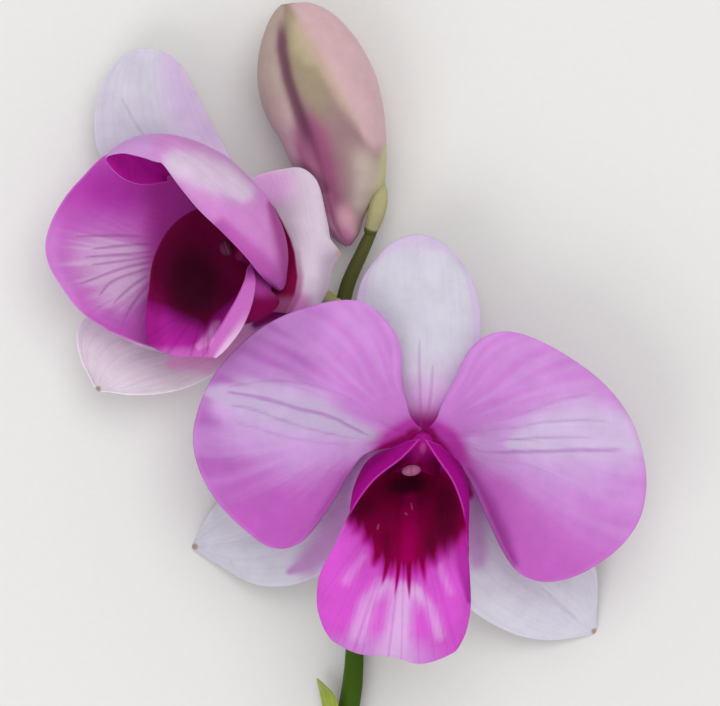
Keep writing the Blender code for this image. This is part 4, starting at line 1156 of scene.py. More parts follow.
def front_lip_tissue(spray):
    """Heavy velvet: the throat is packed with crimson pigment, which breaks into teeth along the veins."""
    layers = [
        ("tip", 0.0, 1.0, "#CB8CD6", 0.85, 0.2),
        ("pale", 0.05, 1.0, "#DBB0E2", 0.92, 0.5),
        ("vein", 0.2, 1.0, "#C24ABA", 0.35, 0.0),
        ("flank", 0.05, 0.9, "#A8269A", 0.85, 0.2),
        ("halo", -1.4, 0.0, "#C629A8", 0.97, 0.6),
        ("throat", -0.4, 1.3, spray.throat_crimson, 1.0, 0.5),
        # painted shade in the throat's recesses
        ("dark", 0.1, 0.95, "#600A30", 0.92, 0.15),
        ("ridge", 0.15, 0.95, "#B00062", 0.85, 0.15),
        # painted shade in the hollow under the anther cap
        ("cavity", 0.2, 0.9, "#561232", 0.9, 0.0),
        ("roof", 0.1, 0.9, "#A61480", 0.95, 0.1),
        # painted glints
        ("speck", 0.3, 0.9, "#C06A9C", 0.6, 0.0),
        ("back", 0.4, 0.6, "#A20C86", 1.0, 0.0),
        # painted shade over the outer faces of the walls
        ("sheltered", 0.0, 1.0, "#700452", 0.7, 0.0),
        # painted highlight along the margins of the walls
        ("rim", 0.2, 1.0, "#C438B2", 0.85, 0.1),
    ]
    look = {"seed": 3.1, "rough": VELVET_ROUGH, "streaks": (70.0, 3.5), "shine": VELVET_SHINE}
    return tissue("velvet_lip_tissue", spray, spray.lip_magenta, layers, **look)


def side_lip_tissue(spray):
    """The same velvet on the half-open flower, seen into its throat, darkened with painted shade."""
    layers = [
        ("brim", 0.0, 1.0, "#CA6CC2", 0.8, 0.3),
        ("bright", 0.05, 0.9, "#E08CD8", 0.85, 0.5),
        ("vein", 0.2, 1.0, "#8E1478", 0.3, 0.0),
        # the throat's crimson and its darkest spot, deepened with painted shade
        ("throat", -1.8, 0.1, "#8A106E", 0.92, 0.4),
        ("throat", -0.3, 0.5, "#6C0A3A", 1.0, 0.3),
        ("dark", 0.1, 0.9, "#3A0B1F", 0.95, 0.1),
        ("left", 0.1, 1.0, "#780A54", 0.4, 0.1),
        ("back", 0.4, 0.6, "#A13C92", 0.8, 0.0),
        ("outer", 0.1, 0.9, "#7A0846", 0.97, 0.1),
        ("wall_top", 0.1, 1.0, "#B0449E", 0.9, 0.1),
        ("flange", 0.1, 0.9, "#C66CC0", 1.0, 0.0),
        ("flange_top", 0.1, 0.9, "#A83C98", 0.8, 0.0),
        ("flange_end", 0.0, 1.0, "#E0BCDC", 0.9, 0.1),
    ]
    look = {"seed": 5.3, "rough": VELVET_ROUGH, "shine": VELVET_SHINE}
    return tissue("shaded_lip_tissue", spray, "#AE249A", layers, **look)


def bowl_tissue(spray):
    """Petal of the half-open flower: strongly coloured, with a pale fan between dark radiating veins."""
    layers = [
        ("low", 0.0, 1.0, "#C45ABC", 0.7, 0.15),
        ("rim", 0.0, 1.0, "#D886DA", 0.9, 0.2),
        ("upper", 0.1, 1.0, "#B632AC", 0.85, 0.1),
        ("fan", 0.05, 0.75, "#D092D2", 0.85, 0.25),
        ("fan", 0.4, 1.0, "#DEBCE0", 0.85, 0.3),
        ("vein", 0.15, 1.0, "#9E489E", 0.5, 0.0),
        ("shadow", 0.1, 1.0, "#9C2888", 0.85, 0.2),
        ("edge", 0.2, 1.0, "#D07AD0", 0.4, 0.0),
        ("back", 0.4, 0.6, "#C48CC9", 0.7, 0.0),
    ]
    return tissue("bowl_petal_tissue", spray, "#C65EC2", layers, seed=7.7, streaks=(30.0, 6.0))


def rolled_tissue(spray):
    """The rolled petal shows its paler outside with a painted highlight along the roll, painted shade down
    its right side, and deep magenta where the roll opens.
    """
    layers = [
        ("left", 0.0, 1.0, "#C99AD4", 0.85, 0.2),
        ("lower", 0.0, 1.0, "#BC58B2", 0.9, 0.2),
        # painted shade down the right side
        ("right", 0.05, 1.0, "#A23888", 0.85, 0.1),
        # the paler outside, brightened with a painted highlight
        ("band", 0.0, 0.8, "#D4AED8", 0.85, 0.2),
        ("band", 0.3, 1.0, "#DECCE0", 0.75, 0.25),
        ("vein", 0.3, 1.0, "#B070B8", 0.12, 0.0),
        ("back", 0.4, 0.6, "#B41A9C", 1.0, 0.0),
    ]
    return tissue("rolled_petal_tissue", spray, "#CF88CC", layers, seed=9.2)


def side_sepal_tissue(name, spray, base, seed):
    """Sepals of the half-open flower, white with lilac, or crimson with painted shade, where the flower
    folds over them.
    """
    layers = [
        ("side", 0.1, 1.0, "#DABEE4", 0.75, 0.25),
        ("foot", 0.2, 1.0, "#C793CE", 0.8, 0.2),
        ("pink", 0.1, 0.9, "#ECB4EA", 0.9, 0.2),
        ("vein", 0.3, 1.0, "#B9A5C0", 0.1, 0.0),
        # painted shade along the creased line
        ("crease", 0.2, 1.0, "#A79BAE", 0.5, 0.0),
        ("low", 0.1, 1.0, "#DC84CC", 0.85, 0.1),
        ("shade", 0.1, 1.0, "#B7A2B6", 0.75, 0.1),
        # painted shade beside the crimson
        ("fringe", 0.1, 1.0, "#A85890", 0.85, 0.1),
        # crimson deepened with painted shade
        ("wine", 0.1, 0.9, "#7C0640", 1.0, 0.0),
        ("tip", 0.3, 0.9, "#C0A096", 0.85, 0.0),
        ("back", 0.4, 0.6, "#D2BFCE", 0.4, 0.0),
    ]
    return tissue(name, spray, base, layers, seed=seed)


# A column's colours: its own, painted light where lit and painted shade underneath.
FRONT_SHADES = ("#A00C78", "#B01C94", "#8E0656")  # of a column: its own, where lit and underneath
# The side flower's column colours are darker copies, painted shade deep in its throat.
SIDE_SHADES = ("#6A0C42", "#7A144E", "#5C0A3A")


def column_tissue(name, spray, base, lit, under):
    """Fleshy column, a little glossier than the petals, deep magenta with painted light on its top and
    painted shade on its underside.
    """
    layers = [
        ("under", 0.2, 0.8, under, 0.9, 0.1),
        ("face", 0.2, 0.9, lit, 0.7, 0.1),
        ("mark", 0.2, 1.0, "#C254A6", 0.6, 0.0),
    ]
    return tissue(name, spray, base, layers, seed=11.0, rough=(0.36, 0.48))


def cap_tissue(name, spray, base):
    """Smooth waxy anther cap with a groove down its middle, darkened with painted shade."""
    layers = [("groove", 0.2, 0.9, "#9A4A78", 0.35, 0.0)]
    return tissue(name, spray, base, layers, seed=12.0, rough=(0.28, 0.38), relief=0.2)


def bud_tissue(spray):
    """Closed sepals, cream and olive outside, rose where pigment shows through, satin and faintly ribbed."""
    layers = [
        ("mauve", 0.0, 1.0, "#9B7B81", 0.95, 0.15),
        ("olive", 0.1, 1.0, "#A0957A", 0.6, 0.1),
        ("left", 0.1, 1.0, "#B6A09A", 0.9, 0.1),
        ("fade", 0.0, 1.0, "#D8B0C2", 0.9, 0.15),
        ("magenta", 0.05, 1.0, "#994A78", 0.8, 0.3),
        ("grey", 0.0, 1.0, "#C4B4AA", 0.9, 0.1),
        ("crown", 0.0, 1.0, "#BCAE90", 0.8, 0.1),
        ("rose", 0.0, 1.0, "#D6B2B8", 0.95, 0.1),
        # painted highlight along the crest
        ("ridge", 0.05, 1.0, "#CBB0A0", 0.62, 0.05),
        ("blush", 0.0, 1.0, "#E0AABC", 0.85, 0.1),
        ("pink", 0.1, 0.9, "#D486B2", 0.85, 0.15),
        # painted shade in the groove
        ("groove", 0.0, 1.0, "#643650", 0.86, 0.05),
        ("tip", 0.2, 0.9, "#9C6A5C", 0.7, 0.1),
        ("foot", 0.0, 0.9, "#C4BE92", 0.9, 0.15),
    ]
    look = {"seed": 13.0, "rough": (0.36, 0.5), "streaks": (38.0, 2.5)}
    return tissue("bud_sepal_tissue", spray, spray.bud_cream, layers, **look)


def stem_tissue(name, spray):
    """Green stem skin: fine lengthwise ribs with a low, waxy gloss and a paler cut end."""
    layers = [
        ("young", 0.1, 0.9, "#5E5C36", 0.9, 0.2),
        ("ovary", 0.1, 0.9, "#B6AF84", 0.95, 0.2),
        ("cut", 0.5, 0.9, "#B5BC84", 1.0, 0.0),
    ]
    look = {"seed": 14.0, "rough": (0.32, 0.46), "streaks": (2600.0, 160.0), "mapped": False}
    return tissue(name, spray, spray.stem_green, layers, **look)


def bract_tissue(name, spray, base):
    """Thin papery bract, yellow-green and drier at its point."""
    layers = [("tip", 0.2, 1.0, "#B3B878", 0.8, 0.2), ("vein", 0.3, 1.0, "#66782F", 0.4, 0.0)]
    return tissue(name, spray, base, layers, seed=15.0, rough=(0.5, 0.68))


def hair_tissue(spray, root, top):
    """Short velvet hairs of the throat, the same pigment a little lighter at this size."""
    layers = [("height", 0.3, 1.0, top, 0.7, 0.0)]
    return tissue("throat_hairs", spray, root, layers, seed=16.0, mapped=False)


def board_finish(spray):
    """Matt pale card that the spray lies on."""
    material = bpy.data.materials.new("matt_pale_card")
    material.use_nodes = True
    tree = material.node_tree
    shader = tree.nodes["Principled BSDF"]
    own = put(tree, "ShaderNodeTexCoord").outputs["Object"]
    grain = put(tree, "ShaderNodeTexNoise", {"Vector": own, "Scale": 900.0, "Detail": 3.0}).outputs["Fac"]
    dark = [0.96 * part for part in spray.board_colour]
    shades = {0: grain, 6: rgba(dark), 7: rgba(spray.board_colour)}
    colour = put(tree, "ShaderNodeMix", shades, data_type="RGBA").outputs[2]
    tree.links.new(colour, shader.inputs["Base Color"])
    bump = put(tree, "ShaderNodeBump", {"Strength": 0.15, "Distance": 0.0001, "Height": grain}).outputs[0]
    tree.links.new(bump, shader.inputs["Normal"])
    shader.inputs["Roughness"].default_value = 0.85
    return material


# Geometry Nodes for what follows a path or covers a surface.


def tree_with(name, inputs):
    """A Geometry Nodes tree with these named inputs between its geometry and its material."""
    tree = bpy.data.node_groups.new(name, "GeometryNodeTree")
    for label, kind in {"Geometry": "Geometry", **inputs, "Material": "Material"}.items():
        tree.interface.new_socket(label, in_out="INPUT", socket_type="NodeSocket" + kind)
    tree.interface.new_socket("Geometry", in_out="OUTPUT", socket_type="NodeSocketGeometry")
    return tree


def ribbed_stem_tree():
    """Sweeps a ribbed ring along the path; the path's own thickness attribute is its radius."""
    inputs = {"Sides": "Int", "Ribs": "Float", "Rib Depth": "Float", "Wander": "Float"}
    tree = tree_with("Ribbed Stem", inputs)
    given = put(tree, "NodeGroupInput").outputs
    path = put(tree, "GeometryNodeMeshToCurve", {"Mesh": given["Geometry"]}).outputs["Curve"]
    named = {"Name": "thickness"}
    thickness = put(tree, "GeometryNodeInputNamedAttribute", named, data_type="FLOAT").outputs["Attribute"]
    circle = {"Resolution": given["Sides"], "Radius": 1.0}
    ring = put(tree, "GeometryNodeCurvePrimitiveCircle", circle, mode="RADIUS").outputs["Curve"]
    share = put(tree, "GeometryNodeSplineParameter").outputs["Factor"]
    turn = put(tree, "ShaderNodeMath", {0: share, 1: 2.0 * math.pi}, operation="MULTIPLY").outputs[0]
    turn = put(tree, "ShaderNodeMath", {0: turn, 1: given["Ribs"]}, operation="MULTIPLY").outputs[0]
    wave = put(tree, "ShaderNodeMath", {0: turn}, operation="COSINE").outputs[0]
    deep = {0: wave, 1: given["Rib Depth"], 2: 1.0}
    size = put(tree, "ShaderNodeMath", deep, operation="MULTIPLY_ADD").outputs[0]
    place = put(tree, "GeometryNodeInputPosition").outputs[0]
    ribbed = put(tree, "ShaderNodeVectorMath", {0: place, "Scale": size}, operation="SCALE").outputs[0]
    ring = put(tree, "GeometryNodeSetPosition", {"Geometry": ring, "Position": ribbed}).outputs[0]
    sweep = {"Curve": path, "Profile Curve": ring, "Scale": thickness, "Fill Caps": True}
    swept = put(tree, "GeometryNodeCurveToMesh", sweep).outputs[0]
    noise = put(tree, "ShaderNodeTexNoise", {"Scale": 420.0, "Detail": 2.0}).outputs["Fac"]
    centred = put(tree, "ShaderNodeMath", {0: noise, 1: 0.5}, operation="SUBTRACT").outputs[0]
    wander = put(tree, "ShaderNodeMath", {0: centred, 1: given["Wander"]}, operation="MULTIPLY").outputs[0]
    normal = put(tree, "GeometryNodeInputNormal").outputs[0]
    offset = put(tree, "ShaderNodeVectorMath", {0: normal, "Scale": wander}, operation="SCALE").outputs[0]
    moved = put(tree, "GeometryNodeSetPosition", {"Geometry": swept, "Offset": offset}).outputs[0]
    smoothed = put(tree, "GeometryNodeSetShadeSmooth", {"Geometry": moved}).outputs[0]
    real = put(tree, "GeometryNodeRealizeInstances", {"Geometry": smoothed}).outputs[0]
    done = put(tree, "GeometryNodeSetMaterial", {"Geometry": real, "Material": given["Material"]}).outputs[0]
    put(tree, "NodeGroupOutput", {"Geometry": done})
    return tree


def hair_tree():
    """Scatters short hairs over a surface, as many as its cover attribute asks for."""
    inputs = {"Density": "Float", "Length": "Float", "Thickness": "Float", "Seed": "Int"}
    tree = tree_with("Throat Hairs", inputs)
    given = put(tree, "NodeGroupInput").outputs
    named = {"Name": "cover"}
    cover = put(tree, "GeometryNodeInputNamedAttribute", named, data_type="FLOAT").outputs["Attribute"]
    density = put(tree, "ShaderNodeMath", {0: cover, 1: given["Density"]}, operation="MULTIPLY").outputs[0]
    spread = {"Mesh": given["Geometry"], "Density": density, "Seed": given["Seed"]}
    spots = put(tree, "GeometryNodeDistributePointsOnFaces", spread, distribute_method="RANDOM").outputs
    cone = {
        "Vertices": 5, "Side Segments": 2, "Radius Top": 0.0, "Radius Bottom": given["Thickness"],
        "Depth": given["Length"],
    }
    hair = put(tree, "GeometryNodeMeshCone", cone, fill_type="NGON").outputs["Mesh"]
    height = put(tree, "GeometryNodeInputPosition").outputs[0]
    level = put(tree, "ShaderNodeSeparateXYZ", {0: height}).outputs["Z"]
    share = put(tree, "ShaderNodeMath", {0: level, 1: given["Length"]}, operation="DIVIDE").outputs[0]
    kept = {"Geometry": hair, "Name": "height", "Value": share}
    hair = put(tree, "GeometryNodeStoreNamedAttribute", kept, data_type="FLOAT").outputs[0]
    unlike = {2: 0.6, 3: 1.15, "Seed": given["Seed"]}
    sizes = put(tree, "FunctionNodeRandomValue", unlike, data_type="FLOAT").outputs[1]
    planted = {"Points": spots["Points"], "Instance": hair, "Rotation": spots["Rotation"], "Scale": sizes}
    grown = put(tree, "GeometryNodeInstanceOnPoints", planted).outputs[0]
    real = put(tree, "GeometryNodeRealizeInstances", {"Geometry": grown}).outputs[0]
    smoothed = put(tree, "GeometryNodeSetShadeSmooth", {"Geometry": real}).outputs[0]
    coloured = {"Geometry": smoothed, "Material": given["Material"]}
    done = put(tree, "GeometryNodeSetMaterial", coloured).outputs[0]
    put(tree, "NodeGroupOutput", {"Geometry": done})
    return tree


def grown(name, mesh, tree, values):
    """Runs the tree on the mesh and returns the plain mesh that it gives, as one object."""
    piece = bpy.data.objects.new(name, mesh)
    bpy.context.scene.collection.objects.link(piece)
    modifier = piece.modifiers.new("Nodes", "NODES")
    modifier.node_group = tree
    for item in tree.interface.items_tree:
        if item.in_out == "INPUT" and item.name in values:
            modifier[item.identifier] = values[item.name]
    bpy.context.view_layer.update()
    graph = bpy.context.evaluated_depsgraph_get()
    plain = bpy.data.meshes.new_from_object(piece.evaluated_get(graph))
    if not plain.polygons:
        raise RuntimeError(f"{name} came out empty")
    piece.modifiers.clear()
    piece.data = plain
    plain.name = name
    return piece


def stem_path(name, path, count):
    """The stem's middle line as a mesh, with its thickness, how young it is and where it is cut."""
    path = np.asarray(path, float)
    at = np.linspace(0.0, 1.0, count)
    middle = millimetres(spline(path[:, :3], at))
    radius = spline(path[:, 3:], at, even=False)[:, 0]
    run = np.concatenate([[0.0], np.cumsum(np.linalg.norm(np.diff(middle, axis=0), axis=1))])
    for distance in (run, run[-1] - run):
        radius = radius * np.sqrt(1.0 - 0.9 * (1.0 - np.clip(distance / 0.5, 0.0, 1.0)) ** 2)
    mesh = bpy.data.meshes.new(name + "_path")
    mesh.from_pydata((middle * SCALE).tolist(), [(i, i + 1) for i in range(count - 1)], [])
    ovaries = {"bud_pedicel": smooth(at, 0.08, 0.2), "side_pedicel": 1.0 - smooth(at, 0.6, 0.9)}
    fields = {
        "thickness": radius * SCALE,
        "young": 1.0 - smooth(at, 0.0, 0.35) if name == "rachis" else 0.6 * np.ones(count),
        "ovary": ovaries.get(name, np.zeros(count)),
        "cut": smooth(at, 0.9985, 1.0) if name == "rachis" else np.zeros(count),
    }
    for key, values in fields.items():
        mesh.attributes.new(key, "FLOAT", "POINT").data.foreach_set("value", values.astype(np.float32))
    return mesh


def haired(lip, name, spray, seed, root, top):
    """Adds the throat's hairs to a lip, thickest where its throat is dark."""
    mesh = lip.data.copy()
    count = len(mesh.vertices)
    values = {}
    for key in ("throat", "back"):
        values[key] = np.empty(count, np.float32)
        mesh.attributes[key].data.foreach_get("value", values[key])
    places = np.empty(3 * count, np.float32)
    mesh.vertices.foreach_get("co", places)
    low_enough = places[2::3] < CAD_BOX[1][2] - 2.0 * spray.hair_length
    cover = smooth(values["throat"], 0.6, 2.0) * (values["back"] < 0.5) * low_enough
    mesh.attributes.new("cover", "FLOAT", "POINT").data.foreach_set("value", cover.astype(np.float32))
    sizes = {
        "Density": spray.hair_density,
        "Length": spray.hair_length,
        "Thickness": HAIR_THICKNESS,
        "Seed": seed,
        "Material": hair_tissue(spray, root, top),
    }
    join(grown(name, mesh, hair_tree(), sizes), [])


def walls(spray):
    """Thickness in the middle of a petal or sepal and at its margin, in millimetres."""
    return spray.blade_middle / SCALE, spray.blade_margin / SCALE


def edged(edges, target, share):
    """A blade's shape from its edges, its base drawn in to a place on the column or to a line across it."""
    left, right = edges["left"], edges["right"]
    base, tip = [left[0], *edges["base"], right[0]], [left[-1], *edges["tip"], right[-1]]
    edges = dict(edges, base=base, tip=tip)
    first, last = np.broadcast_to(np.asarray(target, float), (2, 3))
    return lambda u, v: drawn_in(patch(u, v, **edges), u, first + v[..., None] * (last - first), share)


# Add-on.


class SpraySettings(bpy.types.PropertyGroup):
    """Sizes and colours of the spray's finish."""

    blade_middle: FloatProperty(
        name="Petal Thickness", description="Thickness in the middle of a petal or sepal", default=0.0007,
        min=0.0003, max=0.0012, unit="LENGTH",
    )
    blade_margin: FloatProperty(
        name="Margin Thickness", description="Thickness just inside a petal's margin", default=0.00028,
        min=0.0001, max=0.0006, unit="LENGTH",
    )
    stem_ribs: IntProperty(name="Stem Ribs", description="Ribs round a stem", default=9, min=0, max=30)
    hair_length: FloatProperty(
        name="Hair Length", description="Length of the throat's hairs", default=0.00032, min=0.0, max=0.001,
        unit="LENGTH",
    )
    hair_density: FloatProperty(
        name="Hair Density", description="Hairs a square metre of throat", default=3.0e6, min=0.0,
    )
    glow: FloatProperty(
        name="Glow", description="Share of light that sinks into the tissue and spreads", default=0.15,
        min=0.0, max=1.0, subtype="FACTOR",
    )
    petal_pink: FloatVectorProperty(
        name="Petal Pink", description="Main colour of the petals", subtype="COLOR",
        default=linear("#CC82D3"),
    )
    petal_pale: FloatVectorProperty(
        name="Petal Band", description="Pale band of the petals", subtype="COLOR",
        default=linear("#D0BFDD"),
    )
    claw_magenta: FloatVectorProperty(
        name="Claw Magenta", description="Foot of each petal", subtype="COLOR",
        default=linear("#8E025E"),
    )
    sepal_white: FloatVectorProperty(
        name="Sepal White", description="Main colour of the sepals", subtype="COLOR",
        default=linear("#D3D0DD"),
    )
    lip_magenta: FloatVectorProperty(
        name="Lip Magenta", description="Blade of the front lip", subtype="COLOR",
        default=linear("#D556CE"),
    )
    throat_crimson: FloatVectorProperty(
        name="Throat Crimson", description="Dark throat of the lips", subtype="COLOR",
        default=linear("#920448"),
    )
    bud_cream: FloatVectorProperty(
        name="Bud Cream", description="Main colour of the bud", subtype="COLOR",
        default=linear("#A09078"),
    )
    stem_green: FloatVectorProperty(
        name="Stem Green", description="Main colour of the stem", subtype="COLOR",
        default=linear("#43601A"),
    )
    board_colour: FloatVectorProperty(
        name="Board", description="Colour of the card underneath", subtype="COLOR",
        default=linear("#E9E8E6"),
    )


class ORCHID_OT_front_petals(bpy.types.Operator):
    """Make the two broad petals of the front flower."""

    bl_idname = "orchid.front_petals"
    bl_label = "Front Petals"

    def execute(self, context):
        spray = context.scene.orchid_spray
        for side, edges, marked, pale, turned in (
            ("left", FRONT_PETAL_LEFT, PETAL_LEFT_MARKS, "#C5B2D3", False),
            ("right", FRONT_PETAL_RIGHT, PETAL_RIGHT_MARKS, spray.petal_pale, True),
        ):
            name = f"front_petal_{side}"
            finish = petal_tissue(f"satin_petal_{side}", spray, pale, 1.0 if turned else 2.0)
            shape = edged(edges, ((424, 429, 17.4), (421, 446, 17.6)), 0.8)
            marks = petal_marks(marked, 5 if turned else 7)
            piece = blade(f"{name}_tissue", shape, (160, 140), marks, finish, walls(spray), turned)
            join(piece, [name])
        return {"FINISHED"}


class ORCHID_OT_front_sepals(bpy.types.Operator):
    """Make the three pale sepals of the front flower."""

    bl_idname = "orchid.front_sepals"
    bl_label = "Front Sepals"

    def execute(self, context):
        spray = context.scene.orchid_spray
        finish = sepal_tissue("waxy_dorsal_sepal", spray, spray.sepal_white, "#CBB2DC", 4.0)
        shape = edged(FRONT_DORSAL, (424.5, 440, 14.0), 0.9)
        piece = blade("front_dorsal_sepal_tissue", shape, (80, 64), dorsal_marks, finish, walls(spray), True)
        join(piece, ["front_dorsal_sepal"])
        for side, edges, target, base, shade, seed, turned in (
            ("left", FRONT_LATERAL_LEFT, (420, 462, 13.0), "#CECBD8", "#BA84C0", 11, False),
            ("right", FRONT_LATERAL_RIGHT, (424, 462, 13.0), "#DCD9E6", "#CC9CD2", 13, True),
        ):
            name = f"front_lateral_sepal_{side}"
            finish = sepal_tissue(f"waxy_lateral_sepal_{side}", spray, base, shade, 6.0)
            marks = lateral_marks(seed, **LATERAL_LINES[name])
            shape = edged(edges, target, 0.8)
            piece = blade(f"{name}_tissue", shape, (120, 90), marks, finish, walls(spray), turned)
            join(piece, [name])
        return {"FINISHED"}


class ORCHID_OT_front_lip(bpy.types.Operator):
    """Make the velvet lip of the front flower and the hairs in its throat."""

    bl_idname = "orchid.front_lip"
    bl_label = "Front Lip"

    def execute(self, context):
        spray = context.scene.orchid_spray
        wall = (LIP_MIDDLE, spray.blade_margin / SCALE)
        finish = front_lip_tissue(spray)

        def shape(u, v):
            return drawn_in(loft(u, v, FRONT_LIP), u, (417, 464, 13.0), 0.9 * bell(v, 0.5, 0.25))

        piece = blade("front_lip_tissue", shape, (160, 150), front_lip_marks, finish, wall)
        join(piece, ["front_lip"])
        haired(piece, "front_lip_hairs", spray, 3, "#8C0448", "#A81C5E")
        return {"FINISHED"}


class ORCHID_OT_side_petals(bpy.types.Operator):
    """Make the bowl-shaped and the rolled petal of the half-open flower."""

    bl_idname = "orchid.side_petals"
    bl_label = "Side Petals"

    def execute(self, context):
        spray = context.scene.orchid_spray
        shape = edged(SIDE_PETAL_LEFT, (292, 268, 10.0), 0.3)
        finish = bowl_tissue(spray)
        piece = blade("side_petal_left_tissue", shape, (140, 120), bowl_marks, finish, walls(spray))
        join(piece, ["side_petal_left"])
        shape = partial(loft, rows=SIDE_PETAL_RIGHT)
        finish = rolled_tissue(spray)
        piece = blade("side_petal_right_tissue", shape, (110, 90), rolled_marks, finish, walls(spray))
        join(piece, ["side_petal_right"])
        return {"FINISHED"}


class ORCHID_OT_side_sepals(bpy.types.Operator):
    """Make the three sepals of the half-open flower."""

    bl_idname = "orchid.side_sepals"
    bl_label = "Side Sepals"

    def execute(self, context):
        spray = context.scene.orchid_spray
        finish = side_sepal_tissue("waxy_side_dorsal_sepal", spray, spray.sepal_white, 17.0)
        shape = edged(SIDE_DORSAL, (292, 262, 8.5), 0.3)
        name = "side_dorsal_sepal_tissue"
        piece = blade(name, shape, (96, 60), side_dorsal_marks, finish, walls(spray), True)
        join(piece, ["side_dorsal_sepal"])
        finish = sepal_tissue("waxy_side_lower_sepal", spray, "#EEE2EC", "#FFB4EC", 18.0)
        marks = lateral_marks(19, **LATERAL_LINES["side_lateral_sepal_left"])
        shape = edged(SIDE_LATERAL_LEFT, (304, 288, 8.8), 0.4)
        piece = blade("side_lateral_sepal_left_tissue", shape, (96, 60), marks, finish, walls(spray))
        join(piece, ["side_lateral_sepal_left"])
        finish = side_sepal_tissue("waxy_side_upper_sepal", spray, "#DACADA", 23.0)
        shape = edged(SIDE_LATERAL_RIGHT, (302, 311, 11.5), 0.25)
        name = "side_lateral_sepal_right_tissue"
        piece = blade(name, shape, (84, 56), side_lateral_marks, finish, walls(spray), True)
        join(piece, ["side_lateral_sepal_right"])
        return {"FINISHED"}


class ORCHID_OT_side_lip(bpy.types.Operator):
    """Make the shaded lip of the half-open flower and the hairs in its throat."""

    bl_idname = "orchid.side_lip"
    bl_label = "Side Lip"

    def execute(self, context):
        spray = context.scene.orchid_spray
        wall = (LIP_MIDDLE, spray.blade_margin / SCALE)
        finish = side_lip_tissue(spray)
        shape = partial(loft, rows=SIDE_LIP)
        piece = blade("side_lip_tissue", shape, (120, 140), side_lip_marks, finish, wall)
        join(piece, ["side_lip"])
        # the hairs take the front hairs' crimson, darkened with painted shade as the throat is shaded
        haired(piece, "side_lip_hairs", spray, 8, "#44091F", "#560F30")
        return {"FINISHED"}


class ORCHID_OT_columns(bpy.types.Operator):
    """Make the fleshy column and the anther cap of both open flowers."""

    bl_idname = "orchid.columns"
    bl_label = "Columns"

    def execute(self, context):
        spray = context.scene.orchid_spray
        for flower, path, cap, tint, tilt, shades in (
            ("front", FRONT_COLUMN, FRONT_CAP, "#B46894", 6.0, FRONT_SHADES),
            # the side flower's column and cap are darker copies, painted shade deep in its throat
            ("side", SIDE_COLUMN, SIDE_CAP, "#5A243F", 20.0, SIDE_SHADES),
        ):
            points = tube(path, 60, 40, 0.92)
            # painted light over the column's top 8 mm, painted shade below it
            level = smooth(points[..., 2], points[..., 2].max() - 8.0, points[..., 2].max())
            fields = {"under": 1.0 - level, "face": level}
            finish = column_tissue(f"fleshy_column_{flower}", spray, *shades)
            piece = round_body(f"{flower}_column_tissue", points, fields, finish)
            join(piece, [f"{flower}_column"])
            points, fields = anther_cap(*cap, tilt)
            finish = cap_tissue(f"waxy_anther_cap_{flower}", spray, tint)
            piece = round_body(f"{flower}_anther_cap_tissue", points, fields, finish)
            join(piece, [f"{flower}_anther_cap"])
        finish = column_tissue("fleshy_column_face", spray, *FRONT_SHADES)
        shape = partial(loft, rows=COLUMN_FACE)
        piece = blade("front_column_face", shape, (60, 70), face_marks, finish, FACE_WALLS)
        join(piece, [])
        return {"FINISHED"}


class ORCHID_OT_bud(bpy.types.Operator):
    """Make the closed bud."""

    bl_idname = "orchid.bud"
    bl_label = "Bud"

    def execute(self, context):
        spray = context.scene.orchid_spray
        along = np.linspace(0.0, 1.0, 150)
        along = 0.6 * along + 0.4 * (0.5 - 0.5 * np.cos(math.pi * along))
        t, turn = np.meshgrid(along, np.arange(160) / 160, indexing="ij")
        place = bud_place(t.ravel(), turn.ravel()).reshape(*t.shape, 3)
        piece = round_body("bud_tissue", millimetres(place), bud_marks(t, turn, place), bud_tissue(spray))
        join(piece, ["bud"])
        return {"FINISHED"}


class ORCHID_OT_stems(bpy.types.Operator):
    """Make the flower stem and the stalks with Geometry Nodes."""

    bl_idname = "orchid.stems"
    bl_label = "Stems"

    def execute(self, context):
        spray = context.scene.orchid_spray
        tree = ribbed_stem_tree()
        values = {
            "Sides": STEM_SIDES,
            "Ribs": float(spray.stem_ribs),
            "Rib Depth": RIB_DEPTH,
            "Wander": STEM_WANDER,
            "Material": stem_tissue("ribbed_stem_skin", spray),
        }
        for name, path, count in (
            ("rachis", RACHIS, 260),
            ("front_pedicel", FRONT_STALK, 90),
            ("side_pedicel", SIDE_STALK, 60),
            ("bud_pedicel", BUD_STALK, 50),
        ):
            piece = grown(f"{name}_skin", stem_path(name, path, count), tree, values)
            join(piece, [name])
        return {"FINISHED"}


class ORCHID_OT_bracts(bpy.types.Operator):
    """Make the two small bracts on the stem."""

    bl_idname = "orchid.bracts"
    bl_label = "Bracts"

    def execute(self, context):
        spray = context.scene.orchid_spray
        for name, edges, target, base in (
            ("lower_bract", LOWER_BRACT, (338, 746, 3.4), "#A0B04C"),
            ("upper_bract", UPPER_BRACT, (341, 300, 4.0), "#C8DA70"),
        ):
            finish = bract_tissue(f"papery_{name}", spray, base)
            shape = edged(edges, target, 0.5)
            piece = blade(f"{name}_tissue", shape, (40, 28), bract_marks, finish, BRACT_WALLS, True)
            join(piece, [name])
        return {"FINISHED"}


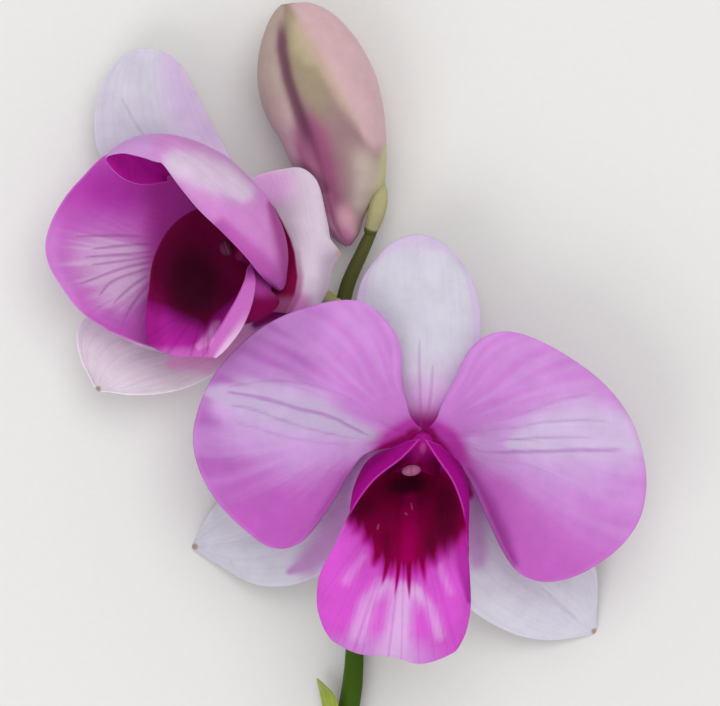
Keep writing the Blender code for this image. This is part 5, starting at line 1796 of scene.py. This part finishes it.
class ORCHID_OT_stage(bpy.types.Operator):
    """Set the pale card, the soft lights and the camera that looks straight down."""

    bl_idname = "orchid.stage"
    bl_label = "Stage"

    def execute(self, context):
        scene = context.scene
        reach = 0.6
        mesh = bpy.data.meshes.new("card")
        corners = [(-reach, -reach, 0.0), (reach, -reach, 0.0), (reach, reach, 0.0), (-reach, reach, 0.0)]
        mesh.from_pydata(corners, [], [(0, 1, 2, 3)])
        mesh.materials.append(board_finish(scene.orchid_spray))
        card = bpy.data.objects.new("card", mesh)
        scene.collection.objects.link(card)
        for name, place, size, power in (
            ("window_light", (0.12, 0.35, 0.92), 0.8, 3.3),
            ("fill_light", (-0.4, -0.55, 0.7), 0.7, 2.3),
        ):
            lamp = bpy.data.lights.new(name, "AREA")
            lamp.shape = "DISK"
            lamp.size = size
            lamp.energy = power
            light = bpy.data.objects.new(name, lamp)
            light.location = place
            light.rotation_euler = (-Vector(place)).to_track_quat("-Z", "Y").to_euler()
            scene.collection.objects.link(light)
        world = bpy.data.worlds.new("soft_room")
        world.use_nodes = True
        world.node_tree.nodes["Background"].inputs["Color"].default_value = (1.0, 1.0, 1.0, 1.0)
        world.node_tree.nodes["Background"].inputs["Strength"].default_value = 0.62
        scene.world = world
        scene.view_settings.view_transform = "Standard"
        lens = bpy.data.cameras.new("camera")
        lens.sensor_width = SENSOR
        lens.lens = SENSOR * VIEW_DISTANCE / (PICTURE[0] * GRID * SCALE)
        lens.clip_start = 0.01
        lens.clip_end = 10.0
        camera = bpy.data.objects.new("camera", lens)
        camera.location = metres((PICTURE[0] / 2, PICTURE[1] / 2, VIEW_HEIGHT)) + (0.0, 0.0, VIEW_DISTANCE)
        scene.collection.objects.link(camera)
        scene.camera = camera
        return {"FINISHED"}


STEPS = (
    ORCHID_OT_stage,
    ORCHID_OT_front_petals,
    ORCHID_OT_front_sepals,
    ORCHID_OT_front_lip,
    ORCHID_OT_side_petals,
    ORCHID_OT_side_sepals,
    ORCHID_OT_side_lip,
    ORCHID_OT_columns,
    ORCHID_OT_bud,
    ORCHID_OT_stems,
    ORCHID_OT_bracts,
)


class ORCHID_PT_spray(bpy.types.Panel):
    """Lists the steps and their settings in the sidebar."""

    bl_idname = "ORCHID_PT_spray"
    bl_label = "Orchid Spray"
    bl_space_type = "VIEW_3D"
    bl_region_type = "UI"
    bl_category = "Orchid"

    def draw(self, context):
        for key in SpraySettings.__annotations__:
            self.layout.prop(context.scene.orchid_spray, key)
        for step in STEPS:
            self.layout.operator(step.bl_idname)


CLASSES = (SpraySettings, *STEPS, ORCHID_PT_spray)


def register():
    for cls in CLASSES:
        bpy.utils.register_class(cls)
    bpy.types.Scene.orchid_spray = PointerProperty(type=SpraySettings)


def unregister():
    del bpy.types.Scene.orchid_spray
    for cls in reversed(CLASSES):
        bpy.utils.unregister_class(cls)


def main():
    register()
    for step in STEPS:
        group, name = step.bl_idname.split(".")
        getattr(getattr(bpy.ops, group), name)()
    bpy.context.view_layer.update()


if __name__ == "__main__":
    main()
